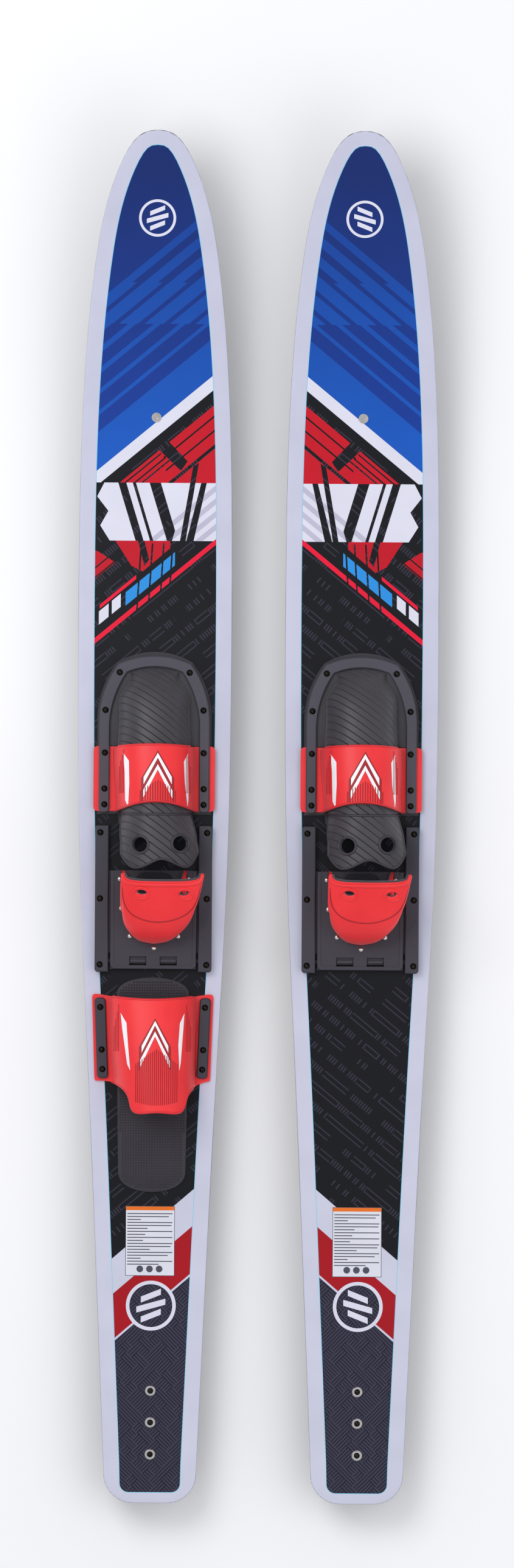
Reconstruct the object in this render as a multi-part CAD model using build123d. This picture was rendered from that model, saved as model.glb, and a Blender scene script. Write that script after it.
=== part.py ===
from build123d import *
import math
import os

# A pair of combination water skis with rubber boots, all sizes in millimetres.
# +Y runs to the tips, +X is to the skier's right and +Z stands up from the decks.
# The origin lies midway between the skis and midway along them, level with the fins' lowest edge.

# Skis
ski_length = 1701.8
ski_spacing = 257.0
fin_depth = 45.0
ski_thickness = 15.0
tip_thickness = 8.0
tip_rise = 78.0
tail_rise = 5.0
rocker_start = 220.0
tail_rocker_start = -500.0
tail_corner = 36.0
edge_bevel = 3.0
deck_round = 1.4
deck_sheet_thickness = 0.8
base_sheet_thickness = 3.2
tunnel_width = 96.0
tunnel_depth = 2.0
half_length = ski_length / 2
base_z = fin_depth
deck_z = base_z + ski_thickness
end_overrun = 20.0
slab_half_width = 120.0

# Half width of the ski at each distance back from the tip
outline_stations = [
    (4.0, 18.5), (16.0, 31.7), (34.0, 42.3), (79.0, 59.7), (170.0, 77.4), (306.0, 89.5),
    (487.0, 94.8), (668.0, 95.2), (895.0, 92.2), (1167.0, 79.7), (1439.0, 67.2),
]
tail_half_width = 57.4

# Screws
screw_radius = 2.2
hole_gap = 0.05
screw_depth = 8.0
screw_head_radius = 3.7
screw_head_height = 2.2
counterbore_radius = 4.4
counterbore_depth = 1.4

# Front boot: plate, rubber upper, instep strap and horseshoe clamp
plate_thickness = 3.0
flange_thickness = 4.5
strap_flange = 2.0
strap_thickness = 3.0
clamp_thickness = 5.0
rubber_wall = 4.0
pad_thickness = 3.5
soft_gap = 0.3
toe_floor = deck_z + plate_thickness
clamp_z = toe_floor + flange_thickness
clamp_top = clamp_z + clamp_thickness
clamp_half_width = 68.6
clamp_inner_half_width = 55.5
clamp_rear = 6.0
clamp_front = 200.3
clamp_inner_front = 186.7
clamp_screw_places = [(43.4, 179.6), (60.8, 132.8), (61.2, 79.9), (61.5, 35.3), (61.5, 15.7)]
tongue_holes = [(-17.1, -33.7), (33.5, -32.1)]
tongue_hole_radius = 9.2

# Foot shape of the front boot: place along the ski, half width, height, offset to the right
toe_sections = [
    (184.5, 20.0, 8.0, 0.0), (176.0, 30.5, 23.0, 0.0), (158.0, 39.5, 37.0, 0.0),
    (130.0, 44.0, 47.0, 0.0), (90.0, 45.5, 55.0, 0.0), (45.0, 44.5, 61.0, 1.0),
    (0.0, 45.5, 64.0, 3.0), (-32.0, 56.0, 65.5, 6.5), (-66.0, 58.0, 67.0, 8.0),
]

# Heel slider on its two rails
rail_inner = 55.6
rail_outer = 72.6
rail_front = -10.0
rail_rear = -192.0
rail_height = 13.0
rail_screw_places = [-19.1, -101.0, -182.9]
rail_screw_x = 66.2
groove_low = 1.6
groove_high = 7.2
groove_depth = 6.0
runner_gap = 0.3
notch_pitch = 7.2
mark_pitch = 8.6
notch_count = 14
slider_half_width = 53.5
slider_front = -65.9
slider_rear = -188.3
carrier_low = 0.6
carrier_top = 7.0
heel_flange = 2.0
cover_thickness = 3.2
heel_floor = deck_z + carrier_top
cover_z = heel_floor + heel_flange
cover_top = cover_z + cover_thickness
rivet_places = [(-42.0, -76.5), (-40.0, -112.8), (-29.0, -147.5), (1.0, -162.3), (31.0, -147.5),
                (41.5, -112.8), (43.0, -76.5)]
rivet_radius = 3.1
rivet_shank_radius = 1.6

# Lock bar under the back of the slider
window_inner = 8.3
window_outer = 29.6
window_front = -172.5
window_rear = -183.5
lock_y = -178.0
lock_pin_y = -150.0
lock_pin_z = deck_z + 4.2
lock_pin_radius = 1.5
lock_barrel_radius = 2.6
lock_running_gap = 0.05
lock_bar_low = deck_z + 4.2
lock_bar_high = deck_z + 6.8
lock_pad_top = deck_z + 11.4
lock_tooth_top = deck_z + 8.8
lock_arm_slot_low = deck_z + 1.5

# Levels of the heel cup: height over the slider, left and right half widths, back and front ends
heel_levels = [
    (0.0, 33.0, 35.0, -157.0, -66.0, 7.0),
    (24.0, 35.0, 38.0, -155.5, -82.0, 0.0),
    (50.0, 38.0, 45.0, -145.0, -113.0, 0.0),
    (72.0, 39.0, 54.0, -119.0, -103.0, 0.0),
    (90.0, 38.5, 62.0, -82.0, -69.0, 0.0),
]
heel_wall = 3.4
liner_wall = 1.5
throat_gap = 0.8
heel_holes = [(-15.0, -94.0), (39.5, -95.0)]
heel_hole_width = 15.0
heel_hole_depth = 9.0

# Rear toe strap and grip pad, on the left ski only
rear_pad_front = -198.1
rear_pad_back = -465.3
rear_pad_thickness = 4.0
rear_sections = [
    (-214.0, 54.0, 44.0, 0.0), (-250.0, 53.0, 53.0, 0.5), (-300.0, 51.0, 60.0, 1.0),
    (-340.0, 50.0, 64.0, 4.0), (-370.0, 50.0, 66.0, 7.0),
]
rear_flange = 3.0
rear_bar_height = 5.0
rear_bar_screws = [(65.0, -235.9), (62.9, -288.5), (61.9, -312.8)]

# Inserts and fin
insert_y = 496.2
insert_radius = 6.0
insert_depth = 7.0
insert_hole_radius = 2.5
fin_screw_places = [-711.7, -751.0, -790.6]
fin_screw_radius = 2.5
washer_radius = 6.5
fin_thickness = 5.0
fin_block_width = 15.0
fin_block_height = 8.0


def flat_face(lines):
    """A face inside closed lines, polylines among them."""
    return Face(Wire([edge for line in lines for edge in line.edges()]))


def prism(lines, low, high):
    """A plan outline drawn at height zero, made solid from one height to another."""
    return Pos(0, 0, low) * extrude(flat_face(lines), amount=high - low, dir=(0, 0, 1))


def box(x_low, x_high, y_low, y_high, z_low, z_high):
    centre = Pos((x_low + x_high) / 2, (y_low + y_high) / 2, (z_low + z_high) / 2)
    return centre * Box(x_high - x_low, y_high - y_low, z_high - z_low)


def upright(x, y, radius, low, high):
    return Pos(x, y, (low + high) / 2) * Cylinder(radius, high - low)


def mirrored(points):
    return points + [(-x, y) for x, y in points]


def flip(shape):
    return mirror(shape, about=Plane.YZ)


# ---------------------------------------------------------------- ski body
def rocker(y):
    """How far the base has risen at y towards the tip."""
    return tip_rise * (max(y - rocker_start, 0.0) / (half_length - rocker_start)) ** 2.1


def ski_depth(y):
    """Thickness of the ski at y, falling evenly over the rocker."""
    run = max(y - rocker_start, 0.0) / (half_length - rocker_start)
    return ski_thickness - (ski_thickness - tip_thickness) * run


def rocker_curve(height_at):
    stations = [rocker_start + (half_length + end_overrun - rocker_start) * i / 8 for i in range(9)]
    points = [(0, y, height_at(y)) for y in stations]
    slope = height_at(stations[-1]) - height_at(stations[-1] - 1)
    return Spline(points, tangents=[(0, 1, 0), (0, 1, slope)])


def base_line(offset):
    """Edges of the ski's underside seen from the side, raised by offset."""
    tail = (0, -half_length - end_overrun, base_z + tail_rise + offset)
    turn = (0, tail_rocker_start, base_z + offset)
    front = (0, rocker_start, base_z + offset)
    lift = Spline([tail, turn], tangents=[(0, 1, -0.028), (0, 1, 0)])
    return [lift, Line(turn, front), rocker_curve(lambda y: base_z + rocker(y) + offset)]


def deck_line(offset):
    """Edges of the deck seen from the side, lowered by offset."""
    tail = (0, -half_length - end_overrun, deck_z - offset)
    front = (0, rocker_start, deck_z - offset)
    return [Line(tail, front), rocker_curve(lambda y: base_z + rocker(y) + ski_depth(y) - offset)]


def slab(lower, upper):
    """The space between two side-view lines, wider than the ski."""
    ends = [Line(lower[0] @ 0, upper[0] @ 0), Line(lower[-1] @ 1, upper[-1] @ 1)]
    side_view = make_face(lower + upper + ends)
    return Pos(-slab_half_width, 0, 0) * extrude(side_view, amount=2 * slab_half_width, dir=(1, 0, 0))


def ski_outline():
    """Plan of the ski: one smooth curve round the tip, then a squared tail with round corners."""
    corner_y = -half_length + tail_corner
    side = [(width, half_length - back) for back, width in outline_stations]
    side.append((tail_half_width, corner_y))
    left_side = [(-x, y) for x, y in reversed(side)]
    centre_x = tail_half_width - tail_corner
    diagonal = tail_corner * math.sqrt(0.5)
    corner = ThreePointArc((tail_half_width, corner_y),
                           (centre_x + diagonal, corner_y - diagonal),
                           (centre_x, -half_length))
    tail = Line((centre_x, -half_length), (-centre_x, -half_length))
    return [Spline(left_side + [(0, half_length)] + side), corner, tail, flip(corner)]


def rim_edges(faces, side_edges):
    return [edge for face in faces for edge in face.edges()
            if any(edge.is_same(other) for other in side_edges)]


def ski_blank():
    """The whole ski as one piece, with its bevelled base rim and softened deck rim."""
    blank = (slab(base_line(0), deck_line(0)) & prism(ski_outline(), 0, 300)).solid()
    side_edges = [edge for face in blank.faces() if abs(face.normal_at().Z) < 0.2
                  for edge in face.edges()]
    base_faces = [face for face in blank.faces() if face.normal_at().Z < -0.5]
    blank = blank.chamfer(edge_bevel, None, rim_edges(base_faces, side_edges))
    side_edges = [edge for face in blank.faces() if abs(face.normal_at().Z) < 0.2
                  for edge in face.edges()]
    deck_faces = [face for face in blank.faces() if face.normal_at().Z > 0.9]
    return blank.fillet(deck_round, rim_edges(deck_faces, side_edges))


def ski_body(screw_cuts):
    """Core, printed deck sheet and base sheet, all cut from one blank."""
    blank = ski_blank()
    tunnel_radius = ((tunnel_width / 2) ** 2 + tunnel_depth ** 2) / (2 * tunnel_depth)
    tunnel = Pos(0, 0, base_z + tunnel_depth - tunnel_radius) * Rot(90, 0, 0)
    tunnel = tunnel * Cylinder(tunnel_radius, 2 * ski_length)
    blank = blank - tunnel
    core = blank & slab(base_line(base_sheet_thickness), deck_line(deck_sheet_thickness))
    deck = blank & slab(deck_line(deck_sheet_thickness), deck_line(-5))
    base = blank & slab(base_line(-5), base_line(base_sheet_thickness))
    return blank, cut_all(core, screw_cuts), cut_all(deck, screw_cuts), cut_all(base, screw_cuts)


def insert_placement():
    """A frame on the deck at the front insert, with Z standing square to the sloping deck."""
    height = base_z + rocker(insert_y) + ski_depth(insert_y)
    ahead = base_z + rocker(insert_y + 1) + ski_depth(insert_y + 1)
    pitch = math.degrees(math.atan(ahead - height))
    return Pos(0, insert_y, height) * Rot(pitch, 0, 0)


def front_insert():
    """Flanged threaded insert for a trainer bar."""
    flange = Pos(0, 0, 0.1) * Cylinder(insert_radius, 1.4)
    barrel = Pos(0, 0, -insert_depth / 2) * Cylinder(insert_radius - 1.5, insert_depth)
    hole = Pos(0, 0, 2 - insert_depth / 2) * Cylinder(insert_hole_radius, insert_depth + 2)
    solid = flange + barrel
    pocket = insert_placement() * solid
    return pocket, insert_placement() * (solid - hole)


def fin(blank):
    """Swept blade hanging from a root block that is screwed up against the base."""
    profile = [(-694, base_z), (-742, 0), (-806, 0), (-820, base_z)]
    blade = make_face([Line((0,) + profile[i], (0,) + profile[(i + 1) % 4]) for i in range(4)])
    blade = Pos(-fin_thickness / 2, 0, 0) * extrude(blade, amount=fin_thickness, dir=(1, 0, 0))
    block_low = base_z + 2.0 - fin_block_height
    half_block = fin_block_width / 2
    block = box(-half_block, half_block, -826, -688, block_low, base_z + tail_rise + 1)
    block = block.fillet(half_block - 0.5, block.edges().filter_by(Axis.Z))
    blade = blade + box(-fin_thickness / 2, fin_thickness / 2, -820, -694, base_z - 1, base_z + 5)
    return (blade + block) - blank


def screw(x, y, seat, length, radius=screw_radius):
    """Pan-head screw whose head sits on the height called seat."""
    shank = upright(x, y, radius, seat - length, seat)
    dome_radius = (screw_head_radius ** 2 + screw_head_height ** 2) / (2 * screw_head_height)
    dome = Pos(x, y, seat + screw_head_height - dome_radius) * Sphere(dome_radius)
    head = dome & upright(x, y, screw_head_radius, seat, seat + screw_head_height)
    socket = box(x - 1.9, x + 1.9, y - 0.4, y + 0.4, seat + 1.0, seat + 3)
    socket = socket + box(x - 0.4, x + 0.4, y - 1.9, y + 1.9, seat + 1.0, seat + 3)
    return (shank + head) - socket


def cut_all(shape, cutters):
    for cutter in cutters:
        shape = shape - cutter
    return shape


# ---------------------------------------------------------------- front boot
def arch(y, half_width, height, centre, floor):
    """Upright D-shaped section of a foot pocket at one place along the ski."""
    side = [(1.0, 0.0), (0.97, 0.32), (0.86, 0.62), (0.62, 0.86), (0.32, 0.97)]
    right = [(centre + half_width * u, y, floor + height * v) for u, v in side]
    left = [(centre - half_width * u, y, floor + height * v) for u, v in reversed(side)]
    crown = Polyline(right + [(centre, y, floor + height)] + left)
    return flat_face([crown, Line(left[-1], right[0])])


def pocket(sections, shrink, floor, back=0.0):
    """Solid foot shape through the sections, shrunk all round and moved back from the nose."""
    faces = [arch(y - back, w - shrink, h - shrink, c, floor) for y, w, h, c in sections]
    return loft(faces, ruled=True)


def clamp_outline(grow=0.0):
    rear = (clamp_half_width + grow, clamp_rear - grow)
    side = (clamp_half_width + grow, 118.0)
    shoulder = (44.8 + grow * 0.9, 190.5 + grow * 0.6)
    bend = (62.6 + grow * 0.95, 156.0 + grow * 0.3)
    front = (0, clamp_front + grow)
    half = [Line(rear, side), ThreePointArc(side, bend, shoulder)]
    nose = ThreePointArc(shoulder, front, (-shoulder[0], shoulder[1]))
    return half + [nose] + [flip(edge) for edge in half] + [Line(rear, (-rear[0], rear[1]))]


def clamp_opening():
    rear = (clamp_inner_half_width, clamp_rear - 20)
    side = (clamp_inner_half_width, 106.0)
    shoulder = (34.0, 180.0)
    half = [Line(rear, side), ThreePointArc(side, (50.6, 145.0), shoulder)]
    nose = ThreePointArc(shoulder, (0, clamp_inner_front), (-shoulder[0], shoulder[1]))
    return half + [nose] + [flip(edge) for edge in half] + [Line(rear, (-rear[0], rear[1]))]


def horseshoe_clamp(shanks):
    bar = prism(clamp_outline(), clamp_z, clamp_top) - prism(clamp_opening(), 0, 200)
    rear_ends = bar.edges().filter_by(Axis.Z).group_by(Axis.Y)[0]
    bar = bar.fillet(5.0, rear_ends)
    top = bar.faces().sort_by(Axis.Z)[-1]
    bar = bar.chamfer(1.2, None, top.edges())
    sinks = [upright(x, y, counterbore_radius, clamp_top - counterbore_depth, clamp_top + 1)
             for x, y in mirrored(clamp_screw_places)]
    return cut_all(bar, sinks + shanks)


def toe_baseplate(shanks):
    """Moulded plate under the front boot, with a narrow tab running back under the tongue."""
    rear = (71.1, 3.6)
    side = (71.1, 118.0)
    neck = (44.4, 3.6)
    tab = (44.4, -9.0)
    half = [Line(tab, neck), Line(neck, rear), Line(rear, side),
            ThreePointArc(side, (65.4, 157.0), (46.6, 192.4))]
    nose = ThreePointArc((46.6, 192.4), (0, 205.3), (-46.6, 192.4))
    edges = half + [nose] + [flip(edge) for edge in half] + [Line(tab, (-tab[0], tab[1]))]
    plate = prism(edges, deck_z, toe_floor)
    plate = plate.fillet(4.0, plate.edges().filter_by(Axis.Z).group_by(Axis.Y)[0])
    return cut_all(plate, shanks)


def tongue_limits():
    """What is cut away behind the front boot: the sides under the tongue and its rear outline."""
    side_view = [(4, -2), (0, 26), (-30, 44), (-75, 50), (-75, -2)]
    points = [(0, y, deck_z + z) for y, z in side_view]
    undercut = make_face([Line(points[i], points[(i + 1) % 5]) for i in range(5)])
    undercut = Pos(-90, 0, 0) * extrude(undercut, amount=180, dir=(1, 0, 0))
    lobes = [(-48, -22), (-38.5, -49), (-24.4, -62), (-8, -58.5), (9.3, -51.3), (27, -57),
             (41.8, -60.5), (53, -48), (60, -22)]
    rear = [Spline(lobes), Line(lobes[-1], (90, -22)), Line((90, -22), (90, -90)),
            Line((90, -90), (-90, -90)), Line((-90, -90), (-90, -22)), Line((-90, -22), lobes[0])]
    return [undercut, prism(rear, 0, 200)]


def strap_wings(inner_edge=46.8, grow=0.0):
    """Flat wing of the instep strap under each leg of the clamp."""
    wing = box(inner_edge, 75.4 + grow, 7.4 - grow, 88.4 + grow, clamp_z - strap_flange, clamp_z)
    return wing + flip(wing)


def toe_rubber(shanks):
    """Black rubber upper: a flange under the clamp, a closed toe pocket and a pull-on tongue."""
    flange = prism(clamp_outline(1.0), toe_floor, clamp_z) - strap_wings(43.0, 0.2)
    inner_sections = toe_sections[:-1] + [(-80.0,) + toe_sections[-1][1:]]
    hollow = pocket(inner_sections, rubber_wall, toe_floor - 1, back=rubber_wall)
    upper = pocket(toe_sections, 0.0, toe_floor)
    holes = [upright(x, y, tongue_hole_radius, toe_floor + 30, 200) for x, y in tongue_holes]
    behind = box(-90, 90, -90, clamp_rear - 1, toe_floor - 2, clamp_z)
    below = box(-90, 90, -90, 250, deck_z - 10, toe_floor)
    shell = flange - behind + upper
    shell = cut_all(shell, [hollow, below] + tongue_limits() + holes + shanks)
    return shell.solids().sort_by(SortBy.VOLUME)[-1]


def toe_strap(shanks):
    """Red instep strap: an arch over the toe pocket on two flat wings."""
    outer = pocket(toe_sections, -soft_gap - 4.5, clamp_z - strap_flange - 2)
    inner = pocket(toe_sections, -soft_gap - 1.5, clamp_z - strap_flange - 3)
    sides = box(-90, 90, -90, 250, 0, clamp_z - strap_flange)
    band_edges = [Line((-90, 88.4), (-45, 88.4)), ThreePointArc((-45, 88.4), (0, 90.1), (45, 88.4)),
                  Line((45, 88.4), (90, 88.4)), Line((90, 88.4), (90, 7.4)),
                  Line((90, 7.4), (54, 7.4)), ThreePointArc((54, 7.4), (2, 20.6), (-50, 7.4)),
                  Line((-50, 7.4), (-90, 7.4)), Line((-90, 7.4), (-90, 88.4))]
    band = prism(band_edges, 0, 200)
    wings = strap_wings()
    strap = ((outer - sides) + wings) - inner
    return cut_all(strap & band, shanks)


def toe_pad():
    """Foam footbed inside the toe pocket."""
    edges = [Line((-34, 10), (-34, 120)), ThreePointArc((-34, 120), (0, 162), (34, 120)),
             Line((34, 120), (34, 10)), Line((34, 10), (-34, 10))]
    return prism(edges, toe_floor, toe_floor + pad_thickness)


# ---------------------------------------------------------------- heel slider and rails
def heel_rail(side, shanks, indexed):
    """One side rail. Its inner groove holds the slider and its lip carries the lock notches."""
    low, high = deck_z, deck_z + rail_height
    rail = box(rail_inner, rail_outer, rail_rear, rail_front, low, high)
    rail = rail.fillet(4.0, rail.edges().filter_by(Axis.Z).group_by(Axis.X)[-1])
    top = rail.faces().sort_by(Axis.Z)[-1]
    rail = rail.fillet(1.6, top.edges())
    groove = box(rail_inner - 1, rail_inner + groove_depth, rail_rear - 1, rail_front - 1.5,
                 low + groove_low, low + groove_high)
    rail = rail - groove
    for index in range(notch_count):
        notch_y = lock_y + index * notch_pitch
        notch = box(rail_inner - 1, rail_inner + 3.6, notch_y - 2.2, notch_y + 2.2,
                    low + groove_high - 1, low + groove_high + 2.2)
        rail = rail - notch
    if indexed:
        for index in range(6):
            dot_x = 63.6 if index % 2 == 0 else 68.6
            dot_y = -116.5 - index * mark_pitch
            rail = rail - upright(dot_x, dot_y, 0.8, high - 0.5, high + 1)
    sinks = [upright(rail_screw_x, y, counterbore_radius, high - counterbore_depth, high + 1)
             for y in rail_screw_places]
    rail = cut_all(rail, sinks)
    if side < 0:
        rail = flip(rail)
    return cut_all(rail, shanks)


def lock_windows(low, high):
    windows = [box(window_inner, window_outer, window_rear, window_front, low, high)]
    return windows + [flip(windows[0])]


def heel_slider():
    """Carrier that runs between the rails, hollow at the back for the lock bar."""
    body = box(-slider_half_width, slider_half_width, slider_rear, slider_front,
               deck_z + carrier_low, heel_floor)
    runner_edge = rail_inner + groove_depth - 1.0
    runners = box(-runner_edge, runner_edge, lock_y + 10, slider_front,
                  deck_z + groove_low + runner_gap, deck_z + groove_high - runner_gap)
    bay = box(-50, 50, slider_rear + 2.2, lock_pin_y + 6, deck_z, heel_floor + 1)
    arms = box(-70, 70, lock_y - 4, lock_y + 5, lock_arm_slot_low, heel_floor + 1)
    ear_edge = 46.0
    ears = [box(x, x + 4, lock_pin_y - 5, lock_pin_y + 6, deck_z + carrier_low, heel_floor)
            for x in (-ear_edge - 4, ear_edge)]
    carrier = cut_all(body + runners, [bay, arms]) + ears[0] + ears[1]
    cross_pin = Pos(0, lock_pin_y, lock_pin_z) * Rot(0, 90, 0)
    pin_hole = cross_pin * Cylinder(lock_pin_radius, 2 * (ear_edge + 4))
    rivets = rivet_holes()
    return cut_all(carrier, [pin_hole] + rivets)


def lock_pin():
    return Pos(0, lock_pin_y, lock_pin_z) * Rot(0, 90, 0) * Cylinder(lock_pin_radius, 99.0)


def lock_bar():
    """Press bar with a pad in each window and a tooth at each end, turning on its pin."""
    plate = box(-45, 45, lock_y - 3.2, lock_pin_y, lock_bar_low, lock_bar_high)
    arms = box(-58.6, 58.6, lock_y - 2, lock_y + 2, lock_bar_low, lock_bar_high)
    teeth = [box(x, x + 2.4, lock_y - 1.7, lock_y + 1.7, lock_bar_low, lock_tooth_top)
             for x in (56.2, -58.6)]
    pads = [box(x, x + 19, lock_y - 1.4, lock_y + 1.4, lock_bar_low, lock_pad_top)
            for x in (9.4, -28.4)]
    barrel = Pos(0, lock_pin_y, lock_pin_z) * Rot(0, 90, 0) * Cylinder(lock_barrel_radius, 90)
    bore_radius = lock_pin_radius + lock_running_gap
    bore = Pos(0, lock_pin_y, lock_pin_z) * Rot(0, 90, 0) * Cylinder(bore_radius, 120)
    bar = plate + arms + teeth[0] + teeth[1] + pads[0] + pads[1] + barrel
    return bar - bore


def heel_cover():
    """Cover plate with a raised round-cornered rim, open round the heel cup and the lock pads."""
    plate = box(-slider_half_width, slider_half_width, slider_rear, slider_front, cover_z, cover_top)
    rear_corners = plate.edges().filter_by(Axis.Z).group_by(Axis.Y)[0]
    plate = plate.fillet(6.0, rear_corners)
    plate = plate.fillet(1.2, plate.faces().sort_by(Axis.Z)[-1].edges())
    tray = box(-slider_half_width + 4.5, slider_half_width - 4.5, slider_rear + 4.5,
               slider_front + 1, cover_top - 0.8, cover_top + 1)
    tray = tray.fillet(3.0, tray.edges().filter_by(Axis.Z).group_by(Axis.Y)[0])
    throat = prism(heel_loop(-throat_gap), cover_z - 1, cover_top + 1)
    rivets = rivet_holes()
    return cut_all(plate, [tray, throat] + lock_windows(deck_z, 200) + rivets)


def heel_spacer():
    """Rim that fills the gap between carrier and cover round the rubber foot of the heel cup."""
    rim = box(-slider_half_width, slider_half_width, slider_rear, slider_front, heel_floor, cover_z)
    rim = rim.fillet(6.0, rim.edges().filter_by(Axis.Z).group_by(Axis.Y)[0])
    inside = box(-48, 48, slider_rear + 18.4, slider_front + 1, heel_floor - 1, cover_z + 1)
    bay = box(-50, 50, slider_rear + 2.2, lock_y + 6, heel_floor - 1, cover_z + 1)
    arms = box(-70, 70, lock_y - 4, lock_y + 5, heel_floor - 1, cover_z + 1)
    return cut_all(rim, [inside, bay, arms])


def heel_loop(inset):
    """Plan of the heel cup at its foot, moved in by inset and closed in front of the slider."""
    height, left, right, rear, front, flare = heel_levels[0]
    curve = heel_curve(left, right, rear, front, flare, 0.0, inset)
    ahead = [(x, slider_front + 2.0) for x in ((curve @ 0).X, (curve @ 1).X)]
    return [curve, Line(curve @ 0, ahead[0]), Line(ahead[0], ahead[1]), Line(ahead[1], curve @ 1)]


def heel_curve(left, right, rear, front, flare, z, inset=0.0):
    """One U-shaped line of the heel cup at a level, open to the front."""
    middle = (right - left) / 2
    depth = front - rear - inset
    rear = rear + inset
    shape = [(1.0, 1.0), (0.98, 0.62), (0.91, 0.31), (0.72, 0.11), (0.40, 0.025)]
    right_side = [(middle + ((left + right) / 2 - inset) * u + (flare if v == 1.0 else 0.0),
                   rear + depth * v, z) for u, v in shape]
    left_side = [(middle - ((left + right) / 2 - inset) * u - (flare if v == 1.0 else 0.0),
                  rear + depth * v, z) for u, v in reversed(shape)]
    return Polyline(right_side + [(middle, rear, z)] + left_side)


def heel_wall_section(level, outer_inset, inner_inset, lift=0.0):
    height, left, right, rear, front, flare = level
    z = heel_floor + height + lift
    outside = heel_curve(left, right, rear, front, flare, z, outer_inset)
    inside = heel_curve(left, right, rear, front, flare, z, inner_inset)
    ends = [Line(outside @ 0, inside @ 0), Line(outside @ 1, inside @ 1)]
    return flat_face([outside, inside] + ends)


def heel_wall_between(outer_inset, inner_inset):
    sections = [heel_wall_section(level, outer_inset, inner_inset) for level in heel_levels]
    return loft(sections, ruled=True)


def heel_finger_holes():
    """Two upright oval holes through the leaning flap."""
    oval = Ellipse(heel_hole_width / 2, heel_hole_depth / 2)
    return [Pos(x, y, heel_floor + 40) * extrude(oval, 80) for x, y in heel_holes]


def rivet_holes():
    return [upright(x, y, rivet_shank_radius + hole_gap, deck_z, 200) for x, y in rivet_places]


def heel_rubber():
    """Red heel cup that leans forward and flares at the top, on a flat foot under the cover."""
    wall = heel_wall_between(0.0, heel_wall)
    foot = box(-47.5, 47.5, slider_rear + 19, slider_front, heel_floor, cover_z)
    rivets = rivet_holes()
    hollow = prism(heel_loop(heel_wall), heel_floor - 1, cover_z)
    return cut_all((foot - hollow) + wall, heel_finger_holes() + rivets)


def heel_liner():
    """Thin black lining bonded inside the heel cup."""
    wall = heel_wall_between(heel_wall, heel_wall + liner_wall)
    return cut_all(wall, heel_finger_holes())


def heel_pad():
    """Foam footbed inside the heel cup."""
    edges = [Line((-22, -68), (-22, -130)), ThreePointArc((-22, -130), (1, -149), (24, -130)),
             Line((24, -130), (24, -68)), Line((24, -68), (-22, -68))]
    return prism(edges, heel_floor, heel_floor + pad_thickness)


def rivet(x, y):
    """Domed rivet with its shank through cover, rubber and carrier."""
    dome_height = 1.8
    dome_radius = (rivet_radius ** 2 + dome_height ** 2) / (2 * dome_height)
    seat = cover_top - 0.8
    dome = Pos(x, y, seat + dome_height - dome_radius) * Sphere(dome_radius)
    head = dome & upright(x, y, rivet_radius, seat, seat + dome_height)
    over_lock_bay = y < lock_pin_y + 6
    shank_low = heel_floor + 0.1 if over_lock_bay else deck_z + carrier_low
    return head + upright(x, y, rivet_shank_radius, shank_low, seat)


# ---------------------------------------------------------------- rear toe strap
def rear_pad():
    """Grip pad for the back foot, with elliptical ends."""
    front, back = (45.6, -222.0), (42.3, -438.0)
    edges = [Line(front, back), ThreePointArc(front, (0, rear_pad_front), (-front[0], front[1])),
             Line((-front[0], front[1]), (-back[0], back[1])),
             ThreePointArc(back, (0, rear_pad_back), (-back[0], back[1]))]
    pad = prism(edges, deck_z, deck_z + rear_pad_thickness)
    return pad.chamfer(1.0, None, pad.faces().sort_by(Axis.Z)[-1].edges())


def rear_strap(shanks):
    """Red arch with a long rear tongue, on wings held by the two side bars."""
    outer = pocket(rear_sections, -0.5, deck_z)
    inner = pocket(rear_sections, strap_thickness - 0.5, deck_z - 1)
    wing_edges = [Line((75.5, -218.5), (71.8, -327)), Line((71.8, -327), (-71.8, -327)),
                  Line((-71.8, -327), (-75.5, -218.5)), Line((-75.5, -218.5), (75.5, -218.5))]
    wings = prism(wing_edges, deck_z, deck_z + rear_flange)
    rear = Spline([(71.8, -327), (58, -331), (43.5, -347), (38.5, -362), (7, -364.5),
                   (-24.5, -362), (-29, -347), (-44, -331), (-71.8, -327)])
    front = ThreePointArc((-75.5, -218.5), (0, -226), (75.5, -218.5))
    plan = prism([rear, Line((-71.8, -327), (-75.5, -218.5)), front,
                  Line((75.5, -218.5), (71.8, -327))], 0, 200)
    undercut_view = [(-329, -2), (-331, 30), (-366, 40), (-390, 40), (-390, -2)]
    points = [(0, y, deck_z + z) for y, z in undercut_view]
    undercut = make_face([Line(points[i], points[(i + 1) % 5]) for i in range(5)])
    undercut = Pos(-90, 0, 0) * extrude(undercut, amount=180, dir=(1, 0, 0))
    over_pad = box(-46.4, 46.4, -400, -200, deck_z - 1, deck_z + rear_pad_thickness + 0.4)
    strap = ((outer + wings) & plan) - inner
    return cut_all(strap, [undercut, over_pad] + shanks)


def rear_bar(side, shanks):
    """Side bar over one wing of the rear strap."""
    front, back = (65.5, -224.0), (61.5, -324.0)
    half = 6.8
    edges = [Line((front[0] - half, front[1]), (front[0] + half, front[1])),
             Line((front[0] + half, front[1]), (back[0] + half, back[1])),
             Line((back[0] + half, back[1]), (back[0] - half, back[1])),
             Line((back[0] - half, back[1]), (front[0] - half, front[1]))]
    low = deck_z + rear_flange
    bar = prism(edges, low, low + rear_bar_height)
    bar = bar.fillet(4.5, bar.edges().filter_by(Axis.Z))
    bar = bar.chamfer(1.2, None, bar.faces().sort_by(Axis.Z)[-1].edges())
    high = low + rear_bar_height
    sinks = [upright(x, y, counterbore_radius, high - counterbore_depth, high + 1)
             for x, y in rear_bar_screws]
    bar = cut_all(bar, sinks)
    if side < 0:
        bar = flip(bar)
    return cut_all(bar, shanks)


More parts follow.
